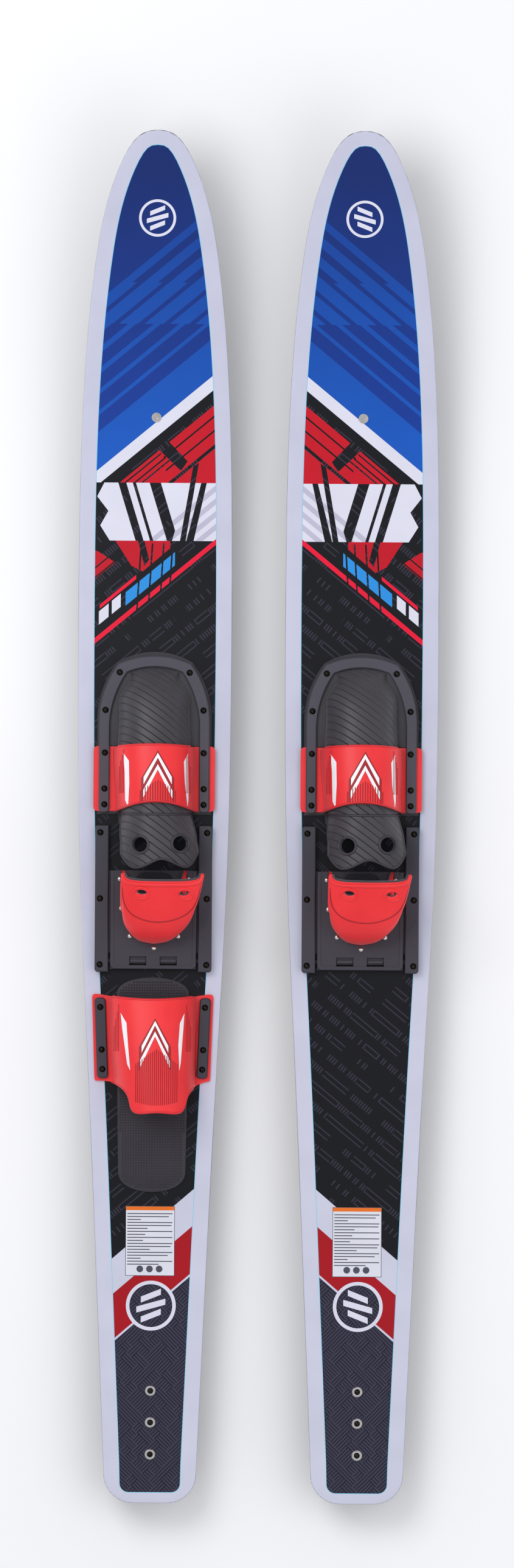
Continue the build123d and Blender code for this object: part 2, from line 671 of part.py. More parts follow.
# ---------------------------------------------------------------- assembly
def screw_group(places, seat, deepest):
    """Screws in a row of places and the straight holes that they fill."""
    screws = [screw(x, y, seat, seat - deepest) for x, y in places]
    shanks = [upright(x, y, screw_radius + hole_gap, deepest - hole_gap, seat + 1) for x, y in places]
    return Compound(children=screws), shanks


def fin_fasteners():
    """Dome screws in cup washers, through the ski into the fin's root block."""
    seat = deck_z + 1.2
    deepest = base_z - 3.5
    screws = [screw(0, y, seat, seat - deepest, fin_screw_radius) for y in fin_screw_places]
    shanks = [upright(0, y, fin_screw_radius + hole_gap, deepest - hole_gap, seat)
              for y in fin_screw_places]
    washers = []
    for y in fin_screw_places:
        washer = upright(0, y, washer_radius, deck_z, deck_z + 2.0)
        washer = washer.chamfer(0.9, None, washer.faces().sort_by(Axis.Z)[-1].edges())
        washer = washer - upright(0, y, screw_head_radius + 0.3, seat, 200)
        washers.append(washer - upright(0, y, fin_screw_radius + hole_gap, 0, 200))
    return Compound(children=screws), shanks, Compound(children=washers)


def water_ski(with_rear_strap):
    """Every piece of one ski about its own centre line, by name."""
    clamp_seat = clamp_top - counterbore_depth
    clamp_screws, clamp_shanks = screw_group(
        mirrored(clamp_screw_places), clamp_seat, deck_z - screw_depth)
    rail_places = mirrored([(rail_screw_x, y) for y in rail_screw_places])
    rail_seat = deck_z + rail_height - counterbore_depth
    rail_screws, rail_shanks = screw_group(rail_places, rail_seat, deck_z - screw_depth)
    fin_screws, fin_shanks, fin_washers = fin_fasteners()
    insert_pocket, insert = front_insert()
    cuts = clamp_shanks + rail_shanks + fin_shanks + [insert_pocket]
    if with_rear_strap:
        bar_seat = deck_z + rear_flange + rear_bar_height - counterbore_depth
        bar_screws, bar_shanks = screw_group(
            mirrored(rear_bar_screws), bar_seat, deck_z - screw_depth)
        cuts = cuts + bar_shanks
    blank, core, deck, base = ski_body(cuts)
    pieces = {
        "ski_core": core,
        "deck_sheet": deck,
        "base_sheet": base,
        "front_insert": insert,
        "fin": cut_all(fin(blank), fin_shanks),
        "fin_screws": fin_screws,
        "fin_washers": fin_washers,
        "toe_baseplate": toe_baseplate(clamp_shanks),
        "toe_pad": toe_pad(),
        "toe_rubber": toe_rubber(clamp_shanks),
        "toe_strap": toe_strap(clamp_shanks),
        "horseshoe_clamp": horseshoe_clamp(clamp_shanks),
        "clamp_screws": clamp_screws,
        "outer_rail": heel_rail(-1, rail_shanks, False),
        "index_rail": heel_rail(1, rail_shanks, True),
        "rail_screws": rail_screws,
        "heel_slider": heel_slider(),
        "heel_spacer": heel_spacer(),
        "heel_cover": heel_cover(),
        "heel_rubber": heel_rubber(),
        "heel_liner": heel_liner(),
        "heel_pad": heel_pad(),
        "heel_rivets": Compound(children=[rivet(x, y) for x, y in rivet_places]),
        "lock_bar": lock_bar(),
        "lock_pin": lock_pin(),
    }
    if with_rear_strap:
        pieces["rear_pad"] = rear_pad()
        pieces["rear_strap"] = rear_strap(bar_shanks)
        pieces["rear_outer_bar"] = rear_bar(-1, bar_shanks)
        pieces["rear_inner_bar"] = rear_bar(1, bar_shanks)
        pieces["rear_bar_screws"] = bar_screws
    return pieces


os.makedirs("parts", exist_ok=True)
left_ski = water_ski(with_rear_strap=True)
for side, centre_x in (("left", -ski_spacing / 2), ("right", ski_spacing / 2)):
    for name, shape in left_ski.items():
        if side == "right" and name.startswith("rear_"):
            continue
        export_step(Pos(centre_x, 0, 0) * shape, f"parts/{side}_{name}.step")
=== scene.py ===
import bpy
import math
import numpy as np
from mathutils.geometry import delaunay_2d_cdt
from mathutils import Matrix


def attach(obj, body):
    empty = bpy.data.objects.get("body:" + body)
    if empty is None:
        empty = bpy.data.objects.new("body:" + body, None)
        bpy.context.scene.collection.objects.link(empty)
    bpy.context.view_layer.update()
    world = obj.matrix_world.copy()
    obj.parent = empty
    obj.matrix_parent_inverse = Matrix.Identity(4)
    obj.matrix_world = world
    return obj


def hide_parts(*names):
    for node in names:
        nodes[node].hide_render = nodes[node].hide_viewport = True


# A pair of combination water skis with rubber boots.
# Shapes are drawn in millimetres about one ski's own centre line, then moved out to their ski.

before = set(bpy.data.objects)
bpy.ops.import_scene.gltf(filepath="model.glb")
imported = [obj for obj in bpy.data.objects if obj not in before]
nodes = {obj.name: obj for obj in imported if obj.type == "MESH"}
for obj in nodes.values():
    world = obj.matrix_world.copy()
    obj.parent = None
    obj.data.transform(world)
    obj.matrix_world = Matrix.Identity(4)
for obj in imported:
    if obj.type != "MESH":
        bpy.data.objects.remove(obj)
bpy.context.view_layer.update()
mm = 0.001
skiCentre = {"left": -128.5, "right": 128.5}
print("frame loaded:", len(nodes), "nodes")


def linearColour(hexText):
    parts = [int(hexText[i:i + 2], 16) / 255 for i in (1, 3, 5)]
    return tuple(p / 12.92 if p <= 0.04045 else ((p + 0.055) / 1.055) ** 2.4 for p in parts) + (1.0,)


def addNode(tree, kind, settings=None, inputs=None):
    node = tree.nodes.new(kind)
    for name, value in (settings or {}).items():
        setattr(node, name, value)
    for name, value in (inputs or {}).items():
        if isinstance(value, bpy.types.NodeSocket):
            tree.links.new(value, node.inputs[name])
        else:
            node.inputs[name].default_value = value
    return node


# materials

def startMaterial(name, roughness, metallic=0.0, coat=0.0, sheen=0.0, shine=0.5):
    material = bpy.data.materials.new(name)
    material.use_nodes = True
    tree = material.node_tree
    shader = tree.nodes["Principled BSDF"]
    shader.inputs["Roughness"].default_value = roughness
    shader.inputs["Metallic"].default_value = metallic
    shader.inputs["Coat Weight"].default_value = coat
    shader.inputs["Coat Roughness"].default_value = 0.12
    shader.inputs["Sheen Weight"].default_value = sheen
    shader.inputs["Specular IOR Level"].default_value = shine
    place = addNode(tree, "ShaderNodeTexCoord").outputs["Object"]
    return material, tree, shader, place


def mixColours(tree, factor, low, high):
    # low and high are hex text or colour sockets
    low, high = [linearColour(c) if isinstance(c, str) else c for c in (low, high)]
    return addNode(tree, "ShaderNodeMix", {"data_type": "RGBA"},
                   {0: factor, 6: low, 7: high}).outputs[2]


def cloudNoise(tree, place, size, detail=3.0):
    # size is the width of one blot in mm
    return addNode(tree, "ShaderNodeTexNoise", inputs={
        "Vector": place, "Scale": 1000 / size, "Detail": detail}).outputs["Fac"]


def roughen(tree, shader, height, depth, strength=0.6, under=None):
    # depth of the grain in mm
    inputs = {"Height": height, "Distance": depth * mm, "Strength": strength}
    if under is not None:
        inputs["Normal"] = under
    bump = addNode(tree, "ShaderNodeBump", inputs=inputs)
    tree.links.new(bump.outputs["Normal"], shader.inputs["Normal"])
    return bump.outputs["Normal"]


def mouldedFinish(name, row):
    # cloudy tone, fine grain and a roughness that wanders a little with the handling
    look = dict(zip(finishColumns, row))
    material, tree, shader, place = startMaterial(
        name, look["rough"], look.get("metal", 0.0), look.get("coat", 0.0), look.get("sheen", 0.0))
    cloud = cloudNoise(tree, place, look["cloud"])
    colour = mixColours(tree, cloud, look["dark"], look["light"])
    grain = cloudNoise(tree, place, look["grain"], 2.0)
    speck = addNode(tree, "ShaderNodeMapRange", inputs={
        "Value": grain, "From Min": 0.35, "From Max": 0.65, "To Min": 0.0, "To Max": look.get("speck", 0.0)})
    colour = mixColours(tree, speck.outputs["Result"], colour, look["light"])
    tree.links.new(colour, shader.inputs["Base Color"])
    wander = addNode(tree, "ShaderNodeMapRange", inputs={
        "Value": cloud, "To Min": look["rough"] - 0.06, "To Max": look["rough"] + 0.08})
    tree.links.new(wander.outputs["Result"], shader.inputs["Roughness"])
    roughen(tree, shader, grain, look["depth"])
    return material


finishColumns = ("dark", "light", "cloud", "grain", "depth", "rough", "speck", "sheen", "metal", "coat")
# colours, then cloud and grain widths and grain depth in mm, then shares from 0 to 1
finishes = {
    # glass-filled nylon from a spark-eroded mould: even fine grain, soft broad sheen
    "clampNylon": ("#33303b", "#474551", 70, 1.1, 0.1, 0.5, 0.35),
    # the same nylon with more carbon black, for rails, slider and side bars
    "railNylon": ("#211d29", "#34303d", 80, 1.0, 0.08, 0.46, 0.25),
    "plateNylon": ("#1c1a22", "#302d38", 60, 1.0, 0.08, 0.52, 0.2),
    # compression-moulded natural rubber in pigment red: satin, with a trace of bloom
    "redRubber": ("#e3131f", "#fa2c31", 45, 0.8, 0.05, 0.44, 0, 0.12),
    "redBead": ("#c90c18", "#ef2029", 30, 0.8, 0.04, 0.42, 0, 0.1),
    # painted shade: red rubber as it looks in shade, used for rib grooves, the heel seam, the dark chevrons
    # and the heel foot under the cover
    "redShade": ("#8b0410", "#b00a18", 20, 0.8, 0.04, 0.5),
    # white rubber let into the red before moulding
    "whiteRubber": ("#ece9ee", "#ffffff", 30, 0.8, 0.03, 0.45),
    "blackRubberBead": ("#262329", "#39363d", 30, 0.9, 0.06, 0.48),
    # knitted nylon face on thin neoprene
    "neopreneLiner": ("#17151a", "#4a474e", 20, 1.2, 0.12, 0.8, 0.4, 0.3),
    # closed-cell EVA foam: matt, finely pitted
    "evaFoam": ("#131217", "#2a2830", 25, 1.4, 0.18, 0.86, 0.4, 0.15),
    "gripFoam": ("#1d1a22", "#34303a", 40, 1.2, 0.12, 0.62, 0.35),
    # black-zinc plated screw steel, shiny on the domes
    "blackZinc": ("#14120f", "#3a352f", 4, 0.6, 0.02, 0.26, 0, 0, 1.0),
    # bright nickel plate
    "nickelPlate": ("#b9b6b4", "#e4e2e0", 5, 0.7, 0.02, 0.14, 0, 0, 1.0),
    # foam core sealed with black resin on its sides
    "sealedCore": ("#1a1822", "#33303c", 25, 1.6, 0.15, 0.55, 0.3),
    # black polyethylene running base, lightly scratched
    "runningBase": ("#0d0d12", "#20202a", 90, 1.5, 0.05, 0.35, 0.2, 0, 0, 0.2),
    "finNylon": ("#0f0f14", "#22222b", 40, 1.2, 0.08, 0.48, 0.2),
}
made = {name: mouldedFinish(name, look) for name, look in finishes.items()}


def printedFilm(name, low, high, fromY=-0.85, toY=0.85):
    # sublimated print under a clear gloss lacquer, its tone running along the ski
    material, tree, shader, place = startMaterial(name, 0.38, coat=0.04, shine=0.22)
    along = addNode(tree, "ShaderNodeSeparateXYZ", inputs={"Vector": place}).outputs["Y"]
    run = addNode(tree, "ShaderNodeMapRange", inputs={"Value": along, "From Min": fromY, "From Max": toY})
    colour = mixColours(tree, run.outputs["Result"], low, high)
    cloud = cloudNoise(tree, place, 55)
    shade = addNode(tree, "ShaderNodeMapRange", inputs={
        "Value": cloud, "From Min": 0.3, "From Max": 0.7, "To Min": 0.0, "To Max": 0.06})
    colour = mixColours(tree, shade.outputs["Result"], colour, "#000000")
    tree.links.new(colour, shader.inputs["Base Color"])
    roughen(tree, shader, cloudNoise(tree, place, 2.2, 1.0), 0.03, 0.3)
    return material, tree, shader, place, colour


films = {
    "lavenderFilm": ("#cfd0e2", "#c6c7da"),
    "navyFilm": ("#02399a", "#00246a", 0.45, 0.80),
    "blueFilm": ("#0357bd", "#013a92", 0.45, 0.78),
    "redFilm": ("#a5031e", "#c8001f", -0.2, 0.45),
    "tailRedFilm": ("#a60014", "#b30218"),
    "whiteFilm": ("#dcdceb", "#dedeec"),
    "greyFilm": ("#bab8ce", "#c0bed2"),
    "accentRedFilm": ("#e4002f", "#ee0a38"),
    "accentBlueFilm": ("#1c87d7", "#2b95e4"),
    "cyanFilm": ("#7fd0e6", "#74c6e6"),
    "orangeFilm": ("#e8701c", "#f07c24"),
    "paperFilm": ("#dcdee8", "#e4e6ee"),
    "inkFilm": ("#4b4c59", "#555663"),
}
for filmName, spec in films.items():
    made[filmName] = printedFilm(filmName, *spec)[0]


def slantedPlace(tree, place, side, degrees):
    # across the ski and along it in mm, turned so that X runs up the slanted lines
    flip = 1.0 if side == "left" else -1.0
    return addNode(tree, "ShaderNodeMapping", inputs={
        "Vector": place, "Scale": (flip * 1000, 1000, 0), "Rotation": (0, 0, -math.radians(degrees))
    }).outputs["Vector"]


def mathNode(tree, operation, a, b=0.0):
    return addNode(tree, "ShaderNodeMath", {"operation": operation}, {0: a, 1: b}).outputs[0]


def circuitFilm(side):
    # near-black print with faint slanting strips of ticks and brackets
    strip = {"rowPitch": 19.4, "bandShare": 0.40, "tickPitch": 3.6, "tickShare": 0.52,
             "runLength": 19.0, "slant": 39.5}
    material, tree, shader, place = startMaterial(side + "CircuitFilm", 0.36, coat=0.04, shine=0.2)
    turned = slantedPlace(tree, place, side, strip["slant"])
    apart = addNode(tree, "ShaderNodeSeparateXYZ", inputs={"Vector": turned})
    along, across = apart.outputs["X"], apart.outputs["Y"]
    rowValue = mathNode(tree, "DIVIDE", across, strip["rowPitch"])
    row = mathNode(tree, "FLOOR", rowValue)
    height = mathNode(tree, "DIVIDE", mathNode(tree, "FRACT", rowValue), strip["bandShare"])
    inBand = mathNode(tree, "LESS_THAN", height, 1.0)
    tickValue = mathNode(tree, "DIVIDE", along, strip["tickPitch"])
    runValue = mathNode(tree, "DIVIDE", along, strip["runLength"])
    cells = []
    for value, seed in ((tickValue, 0.5), (runValue, 7.5)):
        cell = addNode(tree, "ShaderNodeCombineXYZ", inputs={
            "X": mathNode(tree, "FLOOR", value), "Y": row, "Z": seed})
        noise = addNode(tree, "ShaderNodeTexWhiteNoise", inputs={"Vector": cell.outputs[0]})
        cells.append(noise.outputs["Value"])
    tickOn = mathNode(tree, "GREATER_THAN", cells[0], 0.30)
    tickBody = mathNode(tree, "LESS_THAN", mathNode(tree, "FRACT", tickValue), strip["tickShare"])
    tick = mathNode(tree, "MULTIPLY", tickOn, tickBody)
    isRun = mathNode(tree, "GREATER_THAN", cells[1], 0.48)
    offCentre = mathNode(tree, "ABSOLUTE", mathNode(tree, "SUBTRACT", height, 0.5))
    edge = mathNode(tree, "GREATER_THAN", offCentre, 0.30)
    shown = mathNode(tree, "LESS_THAN", cells[1], 0.86)
    plain = mathNode(tree, "MULTIPLY", tick, mathNode(tree, "SUBTRACT", 1.0, isRun))
    bracket = mathNode(tree, "MULTIPLY", edge, isRun)
    mark = mathNode(tree, "MULTIPLY", mathNode(tree, "MAXIMUM", plain, bracket), inBand)
    mark = mathNode(tree, "MULTIPLY", mark, shown)
    colour = mixColours(tree, mark, "#04050f", "#2e2c3b")
    tree.links.new(colour, shader.inputs["Base Color"])
    roughen(tree, shader, cloudNoise(tree, place, 2.2, 1.0), 0.03, 0.3)
    return material


def mazeFilm(side):
    # charcoal print crossed by short slanting lines that turn like a maze
    maze = {"linePitch": 3.4, "cell": 10.2, "lineShare": 0.40, "slant": 45.0}
    material, tree, shader, place = startMaterial(side + "MazeFilm", 0.38, coat=0.04, shine=0.2)
    turned = slantedPlace(tree, place, side, maze["slant"])
    cell = addNode(tree, "ShaderNodeVectorMath", {"operation": "SCALE"},
                   {0: turned, "Scale": 1 / maze["cell"]})
    corner = addNode(tree, "ShaderNodeVectorMath", {"operation": "FLOOR"}, {0: cell.outputs[0]})
    choice = addNode(tree, "ShaderNodeTexWhiteNoise", inputs={"Vector": corner.outputs[0]}).outputs["Value"]
    lines = addNode(tree, "ShaderNodeVectorMath", {"operation": "SCALE"},
                    {0: turned, "Scale": 1 / maze["linePitch"]})
    steps = addNode(tree, "ShaderNodeVectorMath", {"operation": "FRACTION"}, {0: lines.outputs[0]})
    apart = addNode(tree, "ShaderNodeSeparateXYZ", inputs={"Vector": steps.outputs[0]})
    turn = mathNode(tree, "GREATER_THAN", choice, 0.5)
    picked = addNode(tree, "ShaderNodeMix", inputs={
        0: turn, 2: apart.outputs["X"], 3: apart.outputs["Y"]}).outputs[0]
    line = mathNode(tree, "LESS_THAN", picked, maze["lineShare"])
    colour = mixColours(tree, line, "#3a3848", "#15132a")
    tree.links.new(colour, shader.inputs["Base Color"])
    roughen(tree, shader, cloudNoise(tree, place, 2.2, 1.0), 0.03, 0.3)
    return material


def groovedRubber():
    # black moulded rubber with thin slanting grooves, a centimetre apart over the whole boot, the grooves
    # painted near black as shade
    groove = {"pitch": 10.0, "share": 0.10, "depth": 0.9}
    material, tree, shader, place = startMaterial("groovedRubber", 0.46, sheen=0.15)
    slope = addNode(tree, "ShaderNodeVectorMath", {"operation": "DOT_PRODUCT"},
                    {0: place, 1: (750 / groove["pitch"], 1000 / groove["pitch"], -350 / groove["pitch"])})
    step = mathNode(tree, "FRACT", slope.outputs["Value"])
    wave = addNode(tree, "ShaderNodeMapRange", inputs={
        "Value": mathNode(tree, "ABSOLUTE", mathNode(tree, "SUBTRACT", step, 0.5)),
        "From Min": 0.0, "From Max": groove["share"], "To Min": 1.0, "To Max": 0.0}).outputs["Result"]
    cloud = cloudNoise(tree, place, 40)
    rubber = mixColours(tree, cloud, "#2b282e", "#403d44")
    # painted shade: the rubber colour is mixed to near black inside each groove
    colour = mixColours(tree, wave, rubber, "#0b0a0d")
    tree.links.new(colour, shader.inputs["Base Color"])
    grain = roughen(tree, shader, cloudNoise(tree, place, 0.9, 2.0), 0.08)
    floor = mathNode(tree, "SUBTRACT", 1.0, wave)
    roughen(tree, shader, floor, groove["depth"], 0.8, grain)
    return material


made["groovedRubber"] = groovedRubber()
for side in skiCentre:
    made[side + "Circuit"] = circuitFilm(side)
    made[side + "Maze"] = mazeFilm(side)
print("materials made:", len(made))

nodeFinish = {
    "ski_core": "sealedCore", "base_sheet": "runningBase", "front_insert": "nickelPlate",
    "fin": "finNylon", "fin_screws": "blackZinc", "fin_washers": "nickelPlate",
    "toe_baseplate": "plateNylon", "horseshoe_clamp": "clampNylon", "clamp_screws": "blackZinc",
    "outer_rail": "railNylon", "index_rail": "railNylon", "rail_screws": "blackZinc",
    "heel_slider": "railNylon", "heel_spacer": "railNylon", "heel_cover": "railNylon",
    "heel_rivets": "nickelPlate", "lock_bar": "railNylon", "lock_pin": "nickelPlate",
    "rear_outer_bar": "railNylon", "rear_inner_bar": "railNylon", "rear_bar_screws": "blackZinc",
}
for nodeName, node in nodes.items():
    finish = nodeFinish.get(nodeName.split("_", 1)[1])
    if finish and node.material_slots:
        for materialSlot in node.material_slots:
            materialSlot.material = made[finish]
    elif finish:
        node.data.materials.append(made[finish])


# mesh helpers

def smoothLine(points, count):
    # a natural cubic curve through points, evenly sampled by chord length
    points = np.array(points, float)
    run = np.concatenate([[0], np.cumsum(np.linalg.norm(np.diff(points, axis=0), axis=1))])
    return naturalCurve(run, points, np.linspace(0, run[-1], count))


def naturalCurve(knots, values, at):
    knots, values, at = np.array(knots, float), np.array(values, float), np.array(at, float)
    if values.ndim == 1:
        return naturalCurve(knots, values[:, None], at)[:, 0]
    gaps, size = np.diff(knots), len(knots)
    system, pull = np.eye(size), np.zeros_like(values)
    for i in range(1, size - 1):
        system[i, i - 1:i + 2] = gaps[i - 1], 2 * (gaps[i - 1] + gaps[i]), gaps[i]
        pull[i] = 6 * ((values[i + 1] - values[i]) / gaps[i] - (values[i] - values[i - 1]) / gaps[i - 1])
    bend = np.linalg.solve(system, pull)
    i = np.clip(np.searchsorted(knots, at) - 1, 0, size - 2)
    width = gaps[i][:, None]
    a, b = (knots[i + 1] - at)[:, None], (at - knots[i])[:, None]
    return ((bend[i] * a ** 3 + bend[i + 1] * b ** 3) / (6 * width)
            + (values[i] / width - bend[i] * width / 6) * a
            + (values[i + 1] / width - bend[i + 1] * width / 6) * b)


def insideLoop(points, loop):
    x, y = points[:, 0][:, None], points[:, 1][:, None]
    ax, ay = loop[:, 0], loop[:, 1]
    bx, by = np.roll(ax, -1), np.roll(ay, -1)
    level = np.where(by == ay, 1e-9, by - ay)
    crosses = ((ay > y) != (by > y)) & (x < (bx - ax) * (y - ay) / level + ax)
    return crosses.sum(1) % 2 == 1


def loopDistance(points, loop):
    a, b = loop, np.roll(loop, -1, 0)
    ab = b - a
    ap = points[:, None] - a
    along = np.clip((ap * ab).sum(2) / np.maximum((ab ** 2).sum(1), 1e-9), 0, 1)
    return np.linalg.norm(ap - along[..., None] * ab, axis=2).min(1)


def insetLoop(loop, inset):
    # loop runs anticlockwise; inset may be one number or one for each point
    ahead = np.roll(loop, -1, 0) - np.roll(loop, 1, 0)
    normal = np.stack([-ahead[:, 1], ahead[:, 0]], 1)
    normal /= np.maximum(np.linalg.norm(normal, axis=1), 1e-9)[:, None]
    return loop + normal * np.reshape(inset, (-1, 1))


def denseLoop(loop, step):
    loop = np.array(loop, float)
    points = []
    for start, end in zip(loop, np.roll(loop, -1, 0)):
        count = max(1, int(np.ceil(np.linalg.norm(end - start) / step)))
        points += [start + (end - start) * i / count for i in range(count)]
    return np.array(points)


def roundedLoop(corners, radius, steps=5):
    # cuts each corner with a short smooth curve
    corners = np.array(corners, float)
    points = []
    for before, corner, after in zip(np.roll(corners, 1, 0), corners, np.roll(corners, -1, 0)):
        reach = [min(radius, 0.45 * np.linalg.norm(end - corner)) for end in (before, after)]
        start = corner + (before - corner) * reach[0] / max(np.linalg.norm(before - corner), 1e-9)
        end = corner + (after - corner) * reach[1] / max(np.linalg.norm(after - corner), 1e-9)
        for t in np.linspace(0, 1, steps):
            points.append((1 - t) ** 2 * start + 2 * t * (1 - t) * corner + t ** 2 * end)
    return np.array(points)


def circleLoop(x, y, radiusX, radiusY=None, count=40):
    turn = np.linspace(0, 2 * math.pi, count, endpoint=False)
    return np.stack([x + radiusX * np.cos(turn), y + (radiusY or radiusX) * np.sin(turn)], 1)


def makeObject(name, points, faces, materials, faceMaterials):
    sharpAngle = 38
    mesh = bpy.data.meshes.new(name)
    mesh.from_pydata(points.tolist(), [], faces)
    for material in materials:
        mesh.materials.append(made[material])
    mesh.polygons.foreach_set("material_index", np.array(faceMaterials, np.int32))
    mesh.shade_smooth()
    mesh.set_sharp_from_angle(angle=math.radians(sharpAngle))
    mesh.update()
    piece = bpy.data.objects.new(name, mesh)
    bpy.context.scene.collection.objects.link(piece)
    return piece


def gridInside(outline, border, step, fromY):
    # loose points a step apart inside an outline, kept clear of every border point
    clearShare, batch = 0.45, 400
    low, high = outline.min(0), outline.max(0)
    gridX = np.arange(low[0] + step / 2, high[0], step)
    gridY = np.arange((low[1] if fromY is None else fromY) + step / 2, high[1], step)
    grid = np.stack(np.meshgrid(gridX, gridY), -1).reshape(-1, 2)
    grid = grid[insideLoop(grid, outline)]
    if not len(grid):
        return grid
    nearest = np.concatenate([np.linalg.norm(part[:, None] - border, axis=2).min(1)
                              for part in np.array_split(grid, len(grid) // batch + 1)])
    return grid[nearest > clearShare * step]


def inlaidShell(name, shell, centre, mirrored=False):
    # a wall of even thickness over a flat pattern, with holes and flush inlays of other materials
    step = shell["step"]
    outline = denseLoop(shell["outline"], step)
    holes = [denseLoop(loop, step) for loop in shell.get("holes", [])]
    inlays = [(material, denseLoop(loop, step)) for material, loop in shell.get("inlays", [])]
    rings = shell.get("rings", [])
    loops = [outline] + holes + [loop for material, loop in inlays] + rings
    border = np.concatenate(loops)
    grid = gridInside(outline, border, step, shell.get("gridFrom"))
    edges, start = [], 0
    for loop in loops:
        edges += [(start + i, start + (i + 1) % len(loop)) for i in range(len(loop))]
        start += len(loop)
    flat = np.concatenate([border, grid])
    result = delaunay_2d_cdt([tuple(p) for p in flat.tolist()], edges, [], 0, 1e-4)
    plan = np.array([tuple(p) for p in result[0]], float)
    faces = np.array(result[2], int)
    middles = plan[faces].mean(1)
    keep = insideLoop(middles, outline)
    for hole in holes:
        keep &= ~insideLoop(middles, hole)
    a, b, c = (plan[faces[:, i]] for i in range(3))
    area = (b[:, 0] - a[:, 0]) * (c[:, 1] - a[:, 1]) - (b[:, 1] - a[:, 1]) * (c[:, 0] - a[:, 0])
    faces[area < 0] = faces[area < 0][:, ::-1]
    keep &= np.abs(area) > 1e-7
    faces, middles = faces[keep], middles[keep]
    materials = [shell["material"]] + sorted({material for material, loop in inlays})
    faceMaterials = np.zeros(len(faces), int)
    limit = shell.get("inlayLimit")
    allowed = insideLoop(middles, limit) if limit is not None else np.ones(len(faces), bool)
    for material, loop in inlays:
        inside = insideLoop(middles, loop) & (allowed if material not in shell.get("unlimited", ()) else True)
        faceMaterials[inside] = materials.index(material)
    used, renumbered = np.unique(faces, return_inverse=True)
    faces, plan = renumbered.reshape(-1, 3), plan[used]
    top, bottom = shell["surface"](plan, 0.0), shell["surface"](plan, shell["thickness"])
    seen = dict.fromkeys((face[i], face[(i + 1) % 3]) for face in faces.tolist() for i in range(3))
    rim = [edge for edge in seen if edge[::-1] not in seen]
    count = len(plan)
    allFaces = faces.tolist() + (faces[:, ::-1] + count).tolist()
    allFaces += [(b, a, a + count, b + count) for a, b in rim]
    points = np.concatenate([top, bottom])
    if mirrored:
        points[:, 0] *= -1
        allFaces = [face[::-1] for face in allFaces]
    points[:, 0] += centre
    plain = np.zeros(len(faces) + len(rim), int)
    return makeObject(name, points * mm, allFaces, materials, np.concatenate([faceMaterials, plain]))


def growTree(name, settings, build):
    # a node group that turns a wire or point mesh into finished solid pieces
    tree = bpy.data.node_groups.new(name, "GeometryNodeTree")
    newSocket = tree.interface.new_socket
    newSocket("Seed Mesh", in_out="INPUT", socket_type="NodeSocketGeometry")
    sockets = {label: newSocket(label, in_out="INPUT", socket_type="NodeSocket" + kind).identifier
               for label, kind in settings + [("Finish", "Material")]}
    newSocket("Grown Mesh", in_out="OUTPUT", socket_type="NodeSocketGeometry")
    start = addNode(tree, "NodeGroupInput").outputs
    solid = addNode(tree, "GeometryNodeRealizeInstances", inputs={"Geometry": build(tree, start)})
    finished = addNode(tree, "GeometryNodeSetMaterial", inputs={
        "Geometry": solid.outputs[0], "Material": start["Finish"]})
    addNode(tree, "NodeGroupOutput", inputs={"Grown Mesh": finished.outputs[0]})
    return tree, sockets


def sweptBeads(tree, start):
    # a round bead along every line of the mesh
    curve = addNode(tree, "GeometryNodeMeshToCurve", inputs={"Mesh": start["Seed Mesh"]}).outputs[0]
    profile = addNode(tree, "GeometryNodeCurvePrimitiveCircle", inputs={
        "Resolution": start["Bead Sides"], "Radius": start["Bead Radius"]}).outputs[0]
    swept = addNode(tree, "GeometryNodeCurveToMesh", inputs={
        "Curve": curve, "Profile Curve": profile, "Fill Caps": True}).outputs[0]
    return addNode(tree, "GeometryNodeSetShadeSmooth", inputs={"Geometry": swept}).outputs[0]


def standingStuds(tree, start):
    # a small blunt pyramid on every point of the mesh
    topShare = 0.45
    shrink = mathNode(tree, "MULTIPLY", start["Stud Radius"], topShare)
    stud = addNode(tree, "GeometryNodeMeshCone", inputs={
        "Vertices": 4, "Radius Top": shrink, "Radius Bottom": start["Stud Radius"],
        "Depth": start["Stud Height"]}).outputs[0]
    return addNode(tree, "GeometryNodeInstanceOnPoints", inputs={
        "Points": start["Seed Mesh"], "Instance": stud}).outputs[0]


beads = growTree("beadAlongLine", [("Bead Radius", "Float"), ("Bead Sides", "Int")], sweptBeads)
studs = growTree("studField", [("Stud Radius", "Float"), ("Stud Height", "Float")], standingStuds)


def grownMesh(name, group, points, edges, values):
    # runs a node group on a wire mesh and keeps the result as a plain mesh
    tree, sockets = group
    mesh = bpy.data.meshes.new(name)
    mesh.from_pydata((np.asarray(points) * mm).tolist(), edges, [])
    seed = bpy.data.objects.new(name + "Seed", mesh)
    bpy.context.scene.collection.objects.link(seed)
    modifier = seed.modifiers.new("grow", "NODES")
    modifier.node_group = tree
    for key, value in values.items():
        modifier[sockets[key]] = value
    bpy.context.view_layer.update()
    evaluated = seed.evaluated_get(bpy.context.evaluated_depsgraph_get())
    grown = bpy.data.objects.new(name, bpy.data.meshes.new_from_object(evaluated))
    bpy.context.scene.collection.objects.link(grown)
    bpy.data.objects.remove(seed)
    return grown


def sweepBeads(name, lines, radius, finish, centre, sides=8):
    # lines are (points, closed) pairs in mm
    points, edges = [], []
    for line, closed in lines:
        first = len(points)
        points += [tuple(p) for p in np.asarray(line) + (centre, 0, 0)]
        edges += [(i, i + 1) for i in range(first, len(points) - 1)]
        if closed:
            edges.append((len(points) - 1, first))
    return grownMesh(name, beads, points, edges, {
        "Bead Radius": radius * mm, "Bead Sides": sides, "Finish": made[finish]})


def standFor(piece, body, node, slot):
    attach(piece, body)
    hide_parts(node)


def joinPieces(name, pieces):
    with bpy.context.temp_override(active_object=pieces[0], object=pieces[0], selected_objects=pieces,
                                   selected_editable_objects=pieces):
        bpy.ops.object.join()
    pieces[0].name = pieces[0].data.name = name
    return pieces[0]


# printed deck sheet

